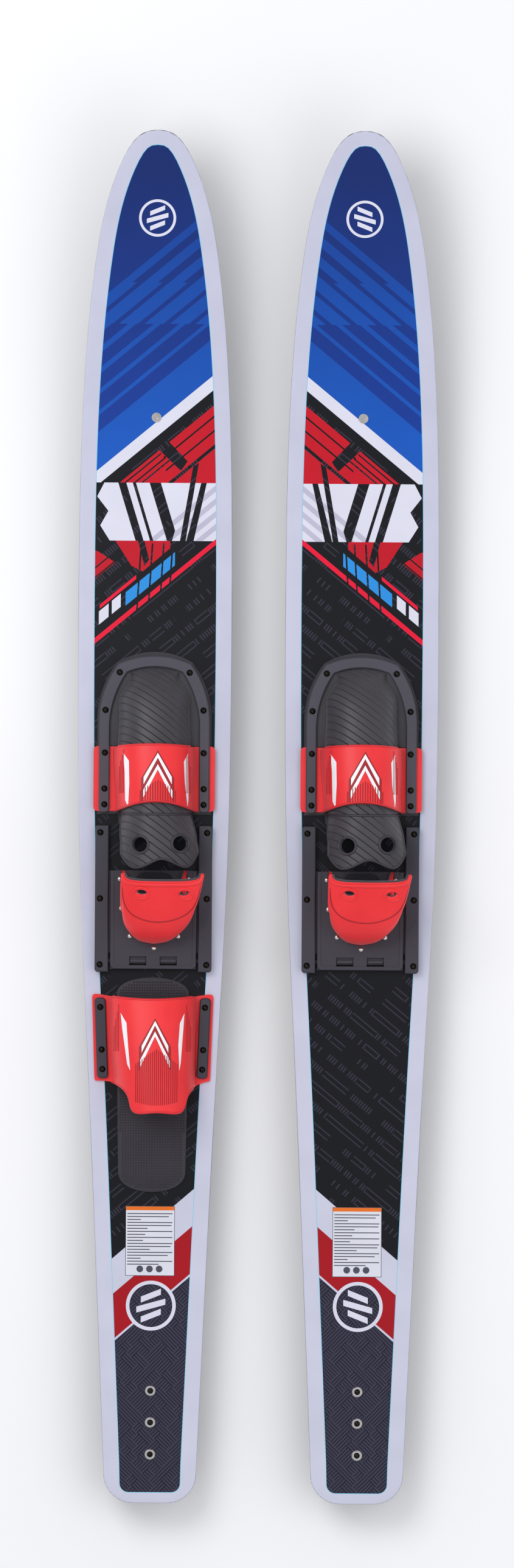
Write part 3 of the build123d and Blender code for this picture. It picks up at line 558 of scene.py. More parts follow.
ski = {
    "halfLength": 850.9, "baseZ": 45.0, "thickness": 15.0, "tipThickness": 8.0, "tipRise": 78.0,
    "rockerStart": 220.0, "sheet": 0.8, "rimRadius": 1.4, "tailCorner": 36.0, "tailHalfWidth": 57.4,
    "stations": [(4.0, 18.5), (16.0, 31.7), (34.0, 42.3), (79.0, 59.7), (170.0, 77.4), (306.0, 89.5),
                 (487.0, 94.8), (668.0, 95.2), (895.0, 92.2), (1167.0, 79.7), (1439.0, 67.2)],
}


def deckHeight(y):
    run = np.clip(y - ski["rockerStart"], 0, None) / (ski["halfLength"] - ski["rockerStart"])
    depth = ski["thickness"] - (ski["thickness"] - ski["tipThickness"]) * run
    return ski["baseZ"] + ski["tipRise"] * run ** 2.1 + depth


def skiOutline():
    # anticlockwise from the right tail corner, round the tip, back to the left tail corner
    length, corner, width = ski["halfLength"], ski["tailCorner"], ski["tailHalfWidth"]
    side = [(w, length - back) for back, w in ski["stations"]] + [(width, -length + corner)]
    sides = smoothLine([(-x, y) for x, y in reversed(side)] + [(0, length)] + side, 261)[::-1]
    turn = np.radians(np.linspace(0, 90, 9)[1:-1])
    inner = width - corner
    cornerArc = np.stack([inner + corner * np.cos(turn), -length + corner - corner * np.sin(turn)], 1)
    return np.concatenate([sides, cornerArc * (-1, 1), [(-inner, -length), (inner, -length)],
                           np.flip(cornerArc, 0)])


def slantBand(finish, top, bottom, slope, left=-110.0, right=110.0):
    return finish, [(left, bottom + slope * left), (right, bottom + slope * right),
                    (right, top + slope * right), (left, top + slope * left)]


def slantBlock(finish, x0, x1, low, high, slope):
    # a block with upright sides between two slanted lines
    return slantBand(finish, high, low, slope, x0, x1)


def emblem(x, y, radius, finish, ground):
    # a plain closed ring round three stacked slanting bars
    inner = radius * 0.86
    loops = [(finish, circleLoop(x, y, radius, count=56)), (ground, circleLoop(x, y, inner, count=56))]
    for lift, reach in ((0.40, 0.40), (0.0, 0.58), (-0.40, 0.40)):
        cy, wide, tall, lean = y + lift * radius, reach * radius, radius * 0.12, radius * 0.16
        loops.append((finish, [(x - wide, cy - tall - lean), (x + wide, cy - tall + lean),
                               (x + wide, cy + tall + lean), (x - wide, cy + tall - lean)]))
    return loops


artwork = {
    "reach": 110.0, "sideBorder": 20.0, "tipBorder": 18.5, "tailBorder": 13.4, "tailRound": 11.0,
    "frontSlope": 0.826, "tailSlope": 0.86, "fieldTop": 860.0, "blueTop": 699.9, "blueBottom": 490.4,
    "blueUnder": 40.0, "panelTop": 472.0, "blockTop": 452.4, "bandTop": 415.1, "bandBottom": 343.2,
    "redLine": 284.1, "redLineHeight": 7.2, "darkEnd": -506.1, "tailRedTop": -550.8,
    "tailRedBottom": -607.9, "mazeTop": -611.1, "tailEnd": -1100.0,
    # dark bolts over the blue: wide at the top, narrow between two rows and wide again below
    "boltRows": (663.1, 611.9), "boltFirst": 676.7, "boltPitch": 26.0, "boltCount": 6,
    "upperBolt": 11.8, "narrowBolt": 6.7, "lowerBolt": 9.5, "boltGrowth": 0.8,
    # thin dark stripes in the red block: drop below its top edge, height, left and right ends
    "blockStripes": [(15.2, 2.6, 9, 110), (33.2, 2.6, 12, 110), (54.5, 5.4, -10, 110),
                     (6.9, 2.4, -70, 6), (16.6, 2.4, -70, 12), (24.0, 2.4, -70, 18)],
    "blockBar": [(4, 455.5), (16, 466), (39, 442), (31, 430)],
    # pale stripes over the right half of the white band: drop below its foot, height, left end
    "greyDrops": (48, 32, 16, 0), "greyHeight": 8, "greyStart": -12,
    # plain shards across the white band and below it
    "shards": [
        ("dark", [(-110, 415.2), (-64, 415.2), (-73, 398), (-59, 380), (-69, 362), (-57, 343),
                  (-40, 300), (-110, 230)]),
        ("dark", [(-47, 415.2), (-37, 415.2), (-15, 343), (-25, 343)]),
        ("dark", [(-29, 415.2), (-25, 415.2), (-3, 343), (-7, 343)]),
        ("dark", [(-8, 415.2), (6, 415.2), (24, 356), (20, 343), (14, 343)]),
        ("dark", [(46, 436), (53, 440), (37, 343), (30, 343)]),
        ("dark", [(56, 415.2), (63, 415.2), (47, 343), (38, 343)]),
        ("red", [(-50, 343.2), (18, 343.2), (18, 334), (-16, 305), (-30, 312)]),
        ("dark", [(-22, 343.2), (-14, 343.2), (-8, 320), (-14, 312)]),
        ("red", [(-110, 338), (-72, 330), (-50, 316), (-72, 298), (-78, 292), (-110, 264)]),
    ],
    "shardStripes": (370, 358, 348), "shardStripeHeight": 2.2, "shardStripeEnd": -50,
    # plain slanting bars where a maker would put words: finish, ends, foot and top
    "bars": [("accentBlueFilm", -37, 24, 293.0, 309.5), ("accentRedFilm", -69, -24, 315.5, 320.5),
             ("whiteFilm", -70, -58, 296.5, 313), ("whiteFilm", -54, -43, 296.5, 313)],
    "barSlits": (-25, -11, 3, 14),
    "emblems": [(742.5, 23.0, "navyFilm"), (-606.0, 31.0, "dark tail")],
}


def deckArtwork(side):
    # painted in order, each area over the ones before it
    a = artwork
    slope, tail, right = a["frontSlope"], a["tailSlope"], a["reach"]
    dark, left = side + "Circuit", -right
    upperRow, lowerRow = a["boltRows"]
    bandBottom, bandTop, blockTop = a["bandBottom"], a["bandTop"], a["blockTop"]
    art = [("navyFilm", [(left, a["fieldTop"]), (left, 380), (right, 380), (right, a["fieldTop"])]),
           slantBand("blueFilm", a["blueTop"], a["blueBottom"] - a["blueUnder"], slope)]
    for k in range(a["boltCount"]):
        base = a["boltFirst"] - a["boltPitch"] * k
        narrowTop = base + a["narrowBolt"]
        for low, high, rowLow, rowHigh in (
                (base, base + a["upperBolt"], upperRow, 900.0),
                (base, narrowTop, lowerRow, upperRow),
                (base - a["lowerBolt"], narrowTop + k * a["boltGrowth"], 300.0, lowerRow)):
            loop = clipRows(slantBand("navyFilm", high, low, slope)[1], rowLow, rowHigh)
            if len(loop) > 2:
                art.append(("navyFilm", loop))
    art += [
        slantBand("whiteFilm", a["blueBottom"], a["panelTop"], slope),
        slantBand(dark, a["panelTop"], a["tailEnd"], slope),
        ("redFilm", [(left, bandTop), (right, bandTop), (right, blockTop + slope * right),
                     (left, blockTop - slope * right)]),
    ]
    art += [slantBlock(dark, x0, x1, blockTop - drop, blockTop - drop + height, slope)
            for drop, height, x0, x1 in a["blockStripes"]]
    art += [(dark, a["blockBar"]),
            ("whiteFilm", [(left, bandBottom), (right, bandBottom), (right, bandTop), (left, bandTop)])]
    for drop in a["greyDrops"]:
        foot = bandBottom - drop
        stripe = slantBlock("greyFilm", a["greyStart"], right, foot, foot + a["greyHeight"], slope)[1]
        art.append(("greyFilm", clipRows(stripe, bandBottom, bandTop)))
    art += [(dark if kind == "dark" else "redFilm", loop) for kind, loop in a["shards"]]
    art += [slantBlock(dark, left, a["shardStripeEnd"], low, low + a["shardStripeHeight"], slope)
            for low in a["shardStripes"]]
    art.append(slantBand("accentRedFilm", a["redLine"], a["redLine"] - a["redLineHeight"], slope))
    art += [slantBlock(*bar, slope) for bar in a["bars"]]
    art += [(dark, [(x, 240), (x + 2.2, 240), (x + 8.2, 340), (x + 6.0, 340)]) for x in a["barSlits"]]
    art += [
        slantBand("lavenderFilm", a["darkEnd"], a["tailEnd"], tail),
        slantBand("tailRedFilm", a["tailRedTop"], a["tailRedBottom"], tail),
        slantBand(side + "Maze", a["mazeTop"], a["tailEnd"], tail),
    ]
    for y, radius, ground in a["emblems"]:
        art += emblem(0, y, radius, "whiteFilm", side + "Maze" if ground == "dark tail" else ground)
    return art


def clipRows(loop, low, high):
    # cuts a loop to the rows between two heights
    for limit, sign in ((low, 1), (high, -1)):
        kept = []
        for (ax, ay), (bx, by) in zip(loop, loop[1:] + loop[:1]):
            inA, inB = sign * (ay - limit) >= 0, sign * (by - limit) >= 0
            if inA:
                kept.append((ax, ay))
            if inA != inB:
                t = (limit - ay) / (by - ay)
                kept.append((ax + (bx - ax) * t, limit))
        loop = kept
    return loop


def deckSheet(side):
    outline = skiOutline()
    rim = ski["rimRadius"]
    drop = ski["sheet"] - 0.02
    edgeInset = rim - math.sqrt(rim ** 2 - (rim - drop) ** 2)
    field = printedField(outline)
    cyan = insetLoop(field, -0.7)

    def surface(plan, depth):
        if not depth:
            away = np.clip(rim - loopDistance(plan, outline), 0, rim)
            depth = np.minimum(rim - np.sqrt(rim ** 2 - away ** 2), drop)
        return np.column_stack([plan, deckHeight(plan[:, 1]) - depth])

    shell = {
        "outline": insetLoop(outline, edgeInset), "step": 14.0, "gridFrom": ski["rockerStart"] - 30,
        "rings": [insetLoop(outline, d) for d in (0.45, 0.85, rim)],
        "holes": [circleLoop(0, 496.2, 5.6, count=28)],
        "material": "lavenderFilm", "thickness": ski["sheet"], "surface": surface,
        "inlays": [("cyanFilm", cyan), ("lavenderFilm", field)] + deckArtwork(side),
        "inlayLimit": field, "unlimited": ("cyanFilm",),
    }
    return inlaidShell(side + "_printed_deck", shell, skiCentre[side], side == "right")


def printedField(outline):
    # the outline moved in by the plain border, with round corners at the tail
    low = -ski["halfLength"] + artwork["tailBorder"]
    inner = outline[outline[:, 1] > -ski["halfLength"] + ski["tailCorner"] + 1]
    ahead = np.gradient(inner, axis=0)
    normal = np.stack([-ahead[:, 1], ahead[:, 0]], 1)
    normal /= np.linalg.norm(normal, axis=1)[:, None]
    border = np.interp(inner[:, 1], [700, 850], [artwork["sideBorder"], artwork["tipBorder"]])
    inner = inner + normal * border[:, None]
    edge = abs(inner[0, 0])
    radius = artwork["tailRound"]
    corner = np.radians(np.linspace(180, 270, 8))
    left = [(-edge + 0.6 + radius + radius * math.cos(t), low + radius + radius * math.sin(t))
            for t in corner]
    right = [(-x, y) for x, y in left[::-1]]
    return np.concatenate([inner, left, right])


def deckSticker(side):
    # a plain care sticker: an orange head and rows of thin bars
    sticker = {"left": -32.0, "right": 29.0, "top": -482.5, "bottom": -569.0, "head": 5.2, "thickness": 0.15}
    x0, x1, y0, y1 = sticker["left"], sticker["right"], sticker["bottom"], sticker["top"]
    rows = []
    for k, share in enumerate((1.0, 0.92, 0.3, 1.0, 0.98, 0.45, 1.0, 0.4, 1.0, 0.35, 1.0, 0.96, 0.5,
                               1.0, 0.9, 0.3, 1.0, 0.7)):
        y = y1 - sticker["head"] - 3.5 - k * 3.7
        rows.append(("inkFilm", [(x0 + 2.2, y - 1.2), (x0 + 2.2 + (x1 - x0 - 5) * share, y - 1.2),
                                 (x0 + 2.2 + (x1 - x0 - 5) * share, y), (x0 + 2.2, y)]))
    head = ("orangeFilm", [(x0 + 0.5, y1 - sticker["head"]), (x1 - 0.5, y1 - sticker["head"]),
                           (x1 - 0.5, y1 - 0.5), (x0 + 0.5, y1 - 0.5)])
    paper = ("paperFilm", [(x0 + 0.6, y0 + 0.6), (x1 - 0.6, y0 + 0.6),
                           (x1 - 0.6, y1 - 0.6), (x0 + 0.6, y1 - 0.6)])
    dots = [("inkFilm", circleLoop(x, y0 + 8.5, 4.2, count=24)) for x in (-14, -2, 10)]
    shell = {
        "outline": [(x0, y0), (x1, y0), (x1, y1), (x0, y1)], "step": 40.0, "material": "inkFilm",
        "thickness": sticker["thickness"], "inlays": [paper, head] + rows + dots,
        "surface": lambda plan, depth: np.column_stack([
            plan, deckHeight(plan[:, 1]) + sticker["thickness"] - depth]),
    }
    return inlaidShell(side + "_deck_sticker", shell, skiCentre[side])


for side in skiCentre:
    deck = deckSheet(side)
    sticker = deckSticker(side)
    standFor(deck, side + "_ski", side + "_deck_sheet", "printed_deck")
    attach(sticker, side + "_ski")
print("deck sheets done")


# arched rubber pieces

archScale = 70.0   # mm of flat pattern from the crown to the foot of an arch
archPower = 2.35


def archSurface(arch):
    # flat pattern (u, y) to a wall over an arch, with wings beyond its feet
    places = [row[0] for row in arch["sections"]][::-1]
    sizes = np.array([row[1:] for row in arch["sections"]], float)[::-1]

    def surface(plan, depth):
        u, y = plan[:, 0] / archScale, plan[:, 1]
        width, height, centre = naturalCurve(places, sizes, np.clip(y, places[0], places[-1])).T
        grow = arch["grow"] - depth
        width = np.maximum(width + grow, 0.6)
        height = np.maximum(height + grow, 0.4)
        turn = (1 - np.clip(u, -1, 1)) * math.pi / 2
        x = centre + width * np.sign(np.cos(turn)) * np.abs(np.cos(turn)) ** (2 / archPower)
        z = arch["floor"] + height * np.clip(np.sin(turn), 0, 1) ** (2 / archPower)
        beyond = np.clip(np.abs(u) - 1, 0, None) * archScale
        x = x + np.sign(u) * beyond
        if "wingTop" in arch:
            wing = arch["wingTop"] - (arch["wingThickness"] if depth > 0 else 0.0)
            z = np.maximum(z, wing)
        return np.stack([x, y, z], 1)
    return surface


def onPattern(surface, places, reach=1.75):
    # plan places (x, y) to the flat pattern (u, y)
    tableU = np.linspace(-reach, reach, 1401) * archScale
    flat = []
    for x, y in np.asarray(places, float):
        across = surface(np.stack([tableU, np.full_like(tableU, y)], 1), 0.0)[:, 0]
        flat.append((np.interp(x, across, tableU), y))
    return np.array(flat)


def liftedLine(surface, flat, lift):
    return surface(np.asarray(flat, float), -lift)


def ribLines(surface, ribs, lift):
    # ribs are (x, yLow, yHigh)
    lines = []
    for x, low, high in ribs:
        flat = onPattern(surface, [(x, y) for y in np.linspace(low, high, 12)])
        lines.append((liftedLine(surface, flat, lift), False))
    return lines


toeBoot = {
    "sections": [(186.2, 8.0, 3.0, 0.0), (184.5, 19.0, 8.0, 0.0), (176.0, 30.5, 23.0, 0.0),
                 (158.0, 39.5, 37.0, 0.0), (130.0, 44.0, 47.0, 0.0), (90.0, 45.5, 55.0, 0.0),
                 (45.0, 44.5, 61.0, 1.0), (0.0, 45.5, 64.0, 3.0), (-32.0, 56.0, 65.5, 6.5),
                 (-66.0, 58.0, 67.0, 8.0)],
    "floor": 63.0, "grow": 0.0, "wall": 4.0, "flangeTop": 67.5,
    "undercut": [(4, 61), (0, 86), (-30, 104), (-75, 110)],
    "lobes": [(-48, -22), (-38.5, -49), (-24.4, -62), (-8, -58.5), (9.3, -51.3), (27, -57),
              (41.8, -60.5), (53, -48), (60, -22)],
    "holes": [(-17.1, -33.7), (33.5, -32.1)], "holeRadius": 9.2,
}


def tongueOutline(surface):
    boot = toeBoot
    lobes = smoothLine(boot["lobes"], 81)
    cut = np.array(boot["undercut"][::-1], float)
    tableU = np.linspace(0, 1, 401) * archScale
    rims = {}
    for sign in (1, -1):
        half = lobes[40:] if sign > 0 else lobes[40::-1]
        lowest = half[:, 1].argmin()
        rim = []
        for y in np.arange(4.0, half[lowest, 1], -1.5):
            row = surface(np.stack([sign * tableU, np.full_like(tableU, y)], 1), 0.0)
            height = np.interp(y, cut[:, 0], cut[:, 1])
            u = np.interp(-height, -row[:, 2], tableU)
            reach = np.interp(y, half[lowest:, 1], half[lowest:, 0])
            across = np.interp(reach, np.sort(row[:, 0]), tableU[::sign])
            rim.append((sign * min(u, across), y))
        tail = half[:lowest + 1][::-1]
        rims[sign] = rim + [tuple(p) for p in onPattern(surface, tail)]
    return rims


def toeRubber(side):
    boot = toeBoot
    surface = archSurface(boot)
    rims = tongueOutline(surface)
    front = boot["sections"][0][0]
    tongue = [(archScale, 4.6)] + rims[1] + rims[-1][::-1] + [(-archScale, 4.6)]
    outline = tongue + [(-archScale, front), (archScale, front)]
    outline = np.array(outline)[::-1]
    holes = [onPattern(surface, circleLoop(x, y, boot["holeRadius"])) for x, y in boot["holes"]]
    shell = {"outline": outline, "holes": holes, "step": 4.0, "material": "groovedRubber",
             "thickness": boot["wall"], "surface": surface}
    centre = skiCentre[side]
    upper = inlaidShell("upper", shell, centre)
    rings = [(liftedLine(surface, onPattern(surface, circleLoop(x, y, boot["holeRadius"] + 1.4)), -0.2), True)
             for x, y in boot["holes"]]
    edge = np.array(rims[1] + rims[-1][::-1])
    rings.append((liftedLine(surface, denseLoop(edge, 2.5)[:-1], -0.5), False))
    rim = sweepBeads("rim", rings, 1.7, "blackRubberBead", centre, 10)
    return upper, rim


def clampPlan(grow):
    # half of the clamp's outline, from the rear corner to the nose
    half = [(68.6 + grow, 6 - grow), (68.6 + grow, 118), (67.2 + grow, 138), (62.6 + grow, 156),
            (55 + grow, 174), (44.8 + grow, 190.5 + grow / 2), (24, 197.9 + grow), (0, 200.3 + grow)]
    return half + [(-x, y) for x, y in half[-2::-1]]


def toeFlange(side):
    # the flange under the clamp, lower where the strap's wings lie in it
    wing = {"x": 46.6, "high": 88.6, "top": 65.3}

    def surface(plan, depth):
        x, y = plan[:, 0], plan[:, 1]
        under = (np.abs(x) > wing["x"]) & (y < wing["high"])
        top = np.where(under, wing["top"], toeBoot["flangeTop"])
        return np.stack([x, y, top if depth == 0 else np.full_like(x, toeBoot["floor"])], 1)

    steps = [[(sign * inner, 5.2), (sign * 69.8, 5.2), (sign * 69.8, front), (sign * inner, front)]
             for inner, front in ((46.5, 88.7), (46.7, 88.5)) for sign in (1, -1)]
    shell = {"outline": clampPlan(1.0), "step": 12.0, "material": "blackRubberBead",
             "inlays": [("blackRubberBead", loop) for loop in steps], "thickness": 4.5, "surface": surface}
    return inlaidShell("flange", shell, skiCentre[side])


def chevron(x, y, halfWidth, drop, thick):
    # a plain arrowhead stripe pointing at the tip
    return [(x, y), (x - halfWidth, y - drop), (x - halfWidth, y - drop - thick * 1.5),
            (x, y - thick), (x + halfWidth, y - drop - thick * 1.5), (x + halfWidth, y - drop)]


toeStrap = {
    "sections": toeBoot["sections"], "floor": 63.5, "grow": 4.8, "wingTop": 67.5, "wingThickness": 2.0,
    "step": 3.0, "ribRadius": 0.55, "lipLift": -1.0,
    "ribs": [(4.9 + 3.1 * k, 17.5, 46.0 - 1.35 * abs(k) ** 1.15) for k in range(-7, 8)],
    "fineRibs": [(sign * (38.8 + 1.7 * k) + 1, 84 - 7 * k, 30) for sign in (1, -1) for k in range(4)],
    "stripes": [[(-38.5, 80), (-31.2, 69.9), (-30.6, 42), (-31.9, 12.9), (-35.6, 21.1), (-36.5, 57.4)],
                [(42, 79.3), (42.9, 22.3), (41.8, 13.3), (38.3, 42.4), (37, 69.3)]],
    # painted shade: the first chevron is a dark panel in the shade red, under the white ones
    "chevrons": [("redShade", 4.7, 83.5, 20.5, 35, 21), ("whiteRubber", 4.7, 80, 17.5, 30, 6.0),
                 ("whiteRubber", 4.7, 66, 19, 34, 6.5)],
}


def strapPiece(name, strap, plan, edges, centre):
    # a rubber band over an arch, with white inlays, ribs and rolled front and back edges
    cornerRound, fineRadius, lipRadius, wall = 6, 0.4, 1.7, 3.0
    surface = archSurface(strap)
    inlays = [("whiteRubber", loop) for loop in strap["stripes"]]
    inlays += [(finish, chevron(*shape)) for finish, *shape in strap["chevrons"]]
    band = inlaidShell(name, {
        "outline": onPattern(surface, denseLoop(roundedLoop(plan[::-1], cornerRound), 3)),
        "inlays": [(finish, onPattern(surface, denseLoop(loop, 3))) for finish, loop in inlays],
        "step": strap["step"], "material": "redRubber", "thickness": wall, "surface": surface}, centre)
    # painted shade: the ribs and fine ribs are thin beads in the shade red, drawn as dark groove lines
    ribs, fine = (
        sweepBeads(label, ribLines(surface, strap[label], lift), radius, "redShade", centre, 6)
        for label, lift, radius in (("ribs", 0.15, strap["ribRadius"]), ("fineRibs", 0.1, fineRadius)))
    lip = [(liftedLine(surface, onPattern(surface, line), strap["lipLift"]), False) for line in edges]
    return joinPieces(name, [band, ribs, fine, sweepBeads("lip", lip, lipRadius, "redBead", centre, 10)])


def toeStrapPiece(side):
    arc = [(2 + 52 * t, 7.4 + 13.2 * (1 - t * t)) for t in np.linspace(0.98, -0.98, 29)]
    front = [(x, 87.6 + 2.5 * max(0.0, 1 - (x / 45) ** 2)) for x in np.linspace(-48, 48, 33)]
    plan = [(-75.4, 88.4)] + front + [(75.4, 88.4), (75.4, 7.4), (60, 7.4)] + arc + [(-60, 7.4), (-75.4, 7.4)]
    edges = [arc, [p for p in front if abs(p[0]) < 46]]
    return strapPiece(side + "_toe_strap_rubber", toeStrap, plan, edges, skiCentre[side])


def footPad(name, loop, top, thickness, centre):
    # a foam footbed with a soft crown
    loop = denseLoop(roundedLoop(loop, 12), 3)
    height = lambda plan: np.clip(loopDistance(plan, loop) / 5, 0, 1) ** 0.5

    def surface(plan, depth):
        lift = top - 1.4 * (1 - height(plan)) if depth == 0 else np.full(len(plan), top - thickness)
        return np.stack([plan[:, 0], plan[:, 1], lift], 1)

    rings = [insetLoop(loop, d) for d in (0.8, 2.0, 4.0)]
    return inlaidShell(name, {"outline": loop, "rings": rings, "step": 6.0, "material": "evaFoam",
                              "thickness": thickness, "surface": surface}, centre)


for side in skiCentre:
    centre = skiCentre[side]
    upper, rim = toeRubber(side)
    boot = joinPieces(side + "_toe_boot_rubber", [upper, rim, toeFlange(side)])
    strap = toeStrapPiece(side)
    toePad = footPad(side + "_toe_footbed", [(-33.6, 10.4), (33.6, 10.4), (33.6, 120), (22, 148), (0, 159),
                                             (-22, 148), (-33.6, 120)], 66.5, 3.5, centre)
    for piece, node, slot in ((boot, "toe_rubber", "black_rubber"), (strap, "toe_strap", "red_rubber"),
                              (toePad, "toe_pad", "black_foam")):
        standFor(piece, side + "_ski", side + "_" + node, slot)
print("toe boots done")


# heel cup

heelCup = {
    "floor": 67.0, "wall": 3.4, "liner": 1.5, "scale": 115.0,
    # height, left and right half widths, back and front ends
    "levels": [(0.0, 33.0, 35.0, -157.0, -66.0), (24.0, 35.0, 38.0, -155.5, -82.0),
               (50.0, 38.0, 45.0, -145.0, -113.0), (72.0, 39.0, 54.0, -119.0, -103.0),
               (90.0, 38.5, 62.0, -82.0, -69.0)],
    "height": 90.0, "flare": 7.0, "flareHeight": 24.0,
    "bend": [(0.0, 0.0), (0.40, 0.025), (0.72, 0.11), (0.91, 0.31), (0.98, 0.62), (1.0, 1.0)],
    "holes": [(-15.0, -94.0), (39.5, -95.0)], "holeSize": (7.5, 4.5), "ringSize": (10.2, 7.0),
    "ringRadius": 1.5, "lipRadius": 2.6, "seamRadius": 0.9, "edgeRadius": 1.3,
    "footHalf": 47.5, "footBack": -169.3, "footFront": -66, "footTop": 69.0, "footThickness": 2.0,
}


def heelSurface(inset):
    heights = [level[0] for level in heelCup["levels"]]
    sizes = np.array([level[1:] for level in heelCup["levels"]])
    bend = np.array(heelCup["bend"])
    run = np.concatenate([[0], np.cumsum(np.linalg.norm(np.diff(bend, axis=0), axis=1))])

    def surface(plan, depth):
        s = plan[:, 0] / heelCup["scale"]
        height = np.clip(plan[:, 1], 0, heelCup["height"])
        left, right, rear, front = naturalCurve(heights, sizes, height).T
        flare = np.clip(1 - height / heelCup["flareHeight"], 0, 1) * heelCup["flare"]
        shape = naturalCurve(run, bend, np.clip(np.abs(s), 0, 1) * run[-1])
        away = inset + depth
        middle, half = (right - left) / 2, (left + right) / 2 - away
        across = np.sign(s) * (half * shape[:, 0] + flare * np.clip(shape[:, 1] * 2.6 - 1.6, 0, 1))
        y = rear + away + (front - rear - away) * shape[:, 1]
        return np.stack([middle + across, y, heelCup["floor"] + height], 1)
    return surface


def onHeel(surface, places):
    # plan places (x, y) near the top of the cup to its flat pattern
    s, h = np.meshgrid(np.linspace(-1, 1, 401) * heelCup["scale"], np.linspace(60, 90, 121))
    table = np.stack([s.ravel(), h.ravel()], 1)
    spots = surface(table, 0.0)[:, :2]
    flat = []
    for place in places:
        near = np.argsort(np.linalg.norm(spots - place, axis=1))[:4]
        weight = 1 / (np.linalg.norm(spots[near] - place, axis=1) + 1e-3)
        flat.append((table[near] * weight[:, None]).sum(0) / weight.sum())
    return np.array(flat)


def heelPieces(side):
    centre = skiCentre[side]
    cup = heelCup
    outside, inside = heelSurface(0.0), heelSurface(cup["wall"])
    edge, top = cup["scale"], cup["height"]
    outline = [(-edge, 0), (edge, 0), (edge, top), (-edge, top)]
    holes = [onHeel(outside, circleLoop(x, y, *cup["holeSize"], count=36)) for x, y in cup["holes"]]
    wall = inlaidShell(side + "_heel_cup_rubber", {
        "outline": outline, "holes": holes, "step": 4.0, "material": "redRubber",
        "thickness": cup["wall"], "surface": outside}, centre)
    liner = inlaidShell(side + "_heel_cup_liner", {
        "outline": outline, "holes": holes, "step": 5.0, "material": "neopreneLiner",
        "thickness": cup["liner"], "surface": inside}, centre)
    # rolled lip up one front end, round the rim and down the other
    along = np.linspace(-1, 1, 61) * edge
    rimFlat = [(-edge, h) for h in np.linspace(26, 84, 15)] + [(s, 89.0) for s in along]
    rimFlat += [(edge, h) for h in np.linspace(84, 26, 15)]
    lip = sweepBeads("lip", [(outside(np.array(rimFlat), 0.9), False)], cup["lipRadius"],
                     "redRubber", centre, 12)
    rings = [(liftedLine(outside, onHeel(outside, circleLoop(x, y, *cup["ringSize"], 36)), -0.3), True)
             for x, y in cup["holes"]]
    rings = sweepBeads("rings", rings, cup["ringRadius"], "redRubber", centre, 10)
    # painted shade: the seam is a thin bead in the shade red
    seamFlat = [(s, 65 + 21 * (s / edge) ** 2 * 1.3) for s in np.linspace(-0.86, 0.86, 61) * edge]
    seam = sweepBeads("seam", [(liftedLine(outside, seamFlat, -0.35), False)], cup["seamRadius"],
                      "redShade", centre)
    # flat foot under the cover, open where the liner stands, in the shade red as painted shade under the
    # cover
    half, back, front = cup["footHalf"], cup["footBack"], cup["footFront"]
    throat = inside(np.stack([along[::-1], np.zeros(61)], 1), 0.0)[1:-1, :2]
    foot = inlaidShell("foot", {
        "outline": [(-half, back), (half, back), (half, front), (42, front)]
        + [tuple(p) for p in throat] + [(-42, front), (-half, front)],
        "step": 8.0, "material": "redShade", "thickness": cup["footThickness"],
        "surface": lambda plan, depth: np.column_stack([plan, np.full(len(plan), cup["footTop"] - depth)]),
    }, centre)
    cupPiece = joinPieces(side + "_heel_cup_rubber", [wall, lip, rings, seam, foot])
    edgeLine = sweepBeads("edge", [(inside(np.array([(s, top) for s in along]), 0.9), False)],
                          cup["edgeRadius"], "neopreneLiner", centre)
    linerPiece = joinPieces(side + "_heel_cup_liner", [liner, edgeLine])
    pad = footPad(side + "_heel_footbed", [
        (-21.7, -68.3), (-21.7, -130), (-12, -143), (1, -148.5), (14, -143), (23.7, -130),
        (23.7, -68.3)], 70.5, 3.5, centre)
    return cupPiece, linerPiece, pad


for side in skiCentre:
    cupPiece, linerPiece, heelPad = heelPieces(side)
    for piece, node, slot in ((cupPiece, "heel_rubber", "red_rubber"),
                              (linerPiece, "heel_liner", "black_rubber"),
                              (heelPad, "heel_pad", "black_foam")):
        standFor(piece, side + "_heel", side + "_" + node, slot)
print("heel cups done")


# rear toe strap and grip pad

rearStrap = {
    "sections": [(-214.0, 54.0, 44.0, 0.0), (-250.0, 53.0, 53.0, 0.5), (-300.0, 51.0, 60.0, 1.0),
                 (-340.0, 50.0, 64.0, 4.0), (-370.0, 50.0, 66.0, 7.0)],
    "floor": 60.0, "grow": 0.5, "wingTop": 63.0, "wingThickness": 2.9, "step": 3.2, "ribRadius": 0.5,
    "lipLift": -0.9,
    # painted shade: the first chevron is a dark panel in the shade red, under the white ones
    "chevrons": [("redShade", 3.4, -248.5, 20, 36, 20), ("whiteRubber", 3.4, -252, 16.5, 31, 5.5),
                 ("whiteRubber", 3.4, -265, 18.5, 36, 6.0)],
    "rear": [(71.8, -327), (58, -331), (43.5, -347), (38.5, -362), (7, -364.5), (-24.5, -362),
             (-29, -347), (-44, -331), (-71.8, -327)],
    "ribs": [(5.4 + 2.55 * k, -356.5 + 0.04 * k * k, -287 - 1.6 * abs(k) ** 1.05) for k in range(-10, 11)],
    "stripes": [[(-39.6, -242.5), (-37.3, -262.9), (-31, -305.8), (-27.2, -313.5), (-30.1, -281.9),
                 (-32.2, -254.8)],
                [(39.6, -242.5), (34.1, -254.8), (32.3, -281.9), (33.8, -313.5), (35.4, -303.6),
                 (38.3, -262.9)]],
    "fineRibs": [(sign * (42 + 1.8 * k), -232 - 9 * k, -290) for sign in (1, -1) for k in range(4)],
}


def rearStrapPiece():
    rear = smoothLine(rearStrap["rear"], 73)
    front = [(x, -226 + 7.5 * (x / 75.5) ** 2) for x in np.linspace(-56, 56, 37)]
    plan = [(-75.5, -218.5)] + front + [(75.5, -218.5)] + rear.tolist()
    edges = [[p for p in rear if abs(p[0]) < 52], [p for p in front if abs(p[0]) < 50]]
    return strapPiece("rear_strap_rubber", rearStrap, plan, edges, skiCentre["left"])


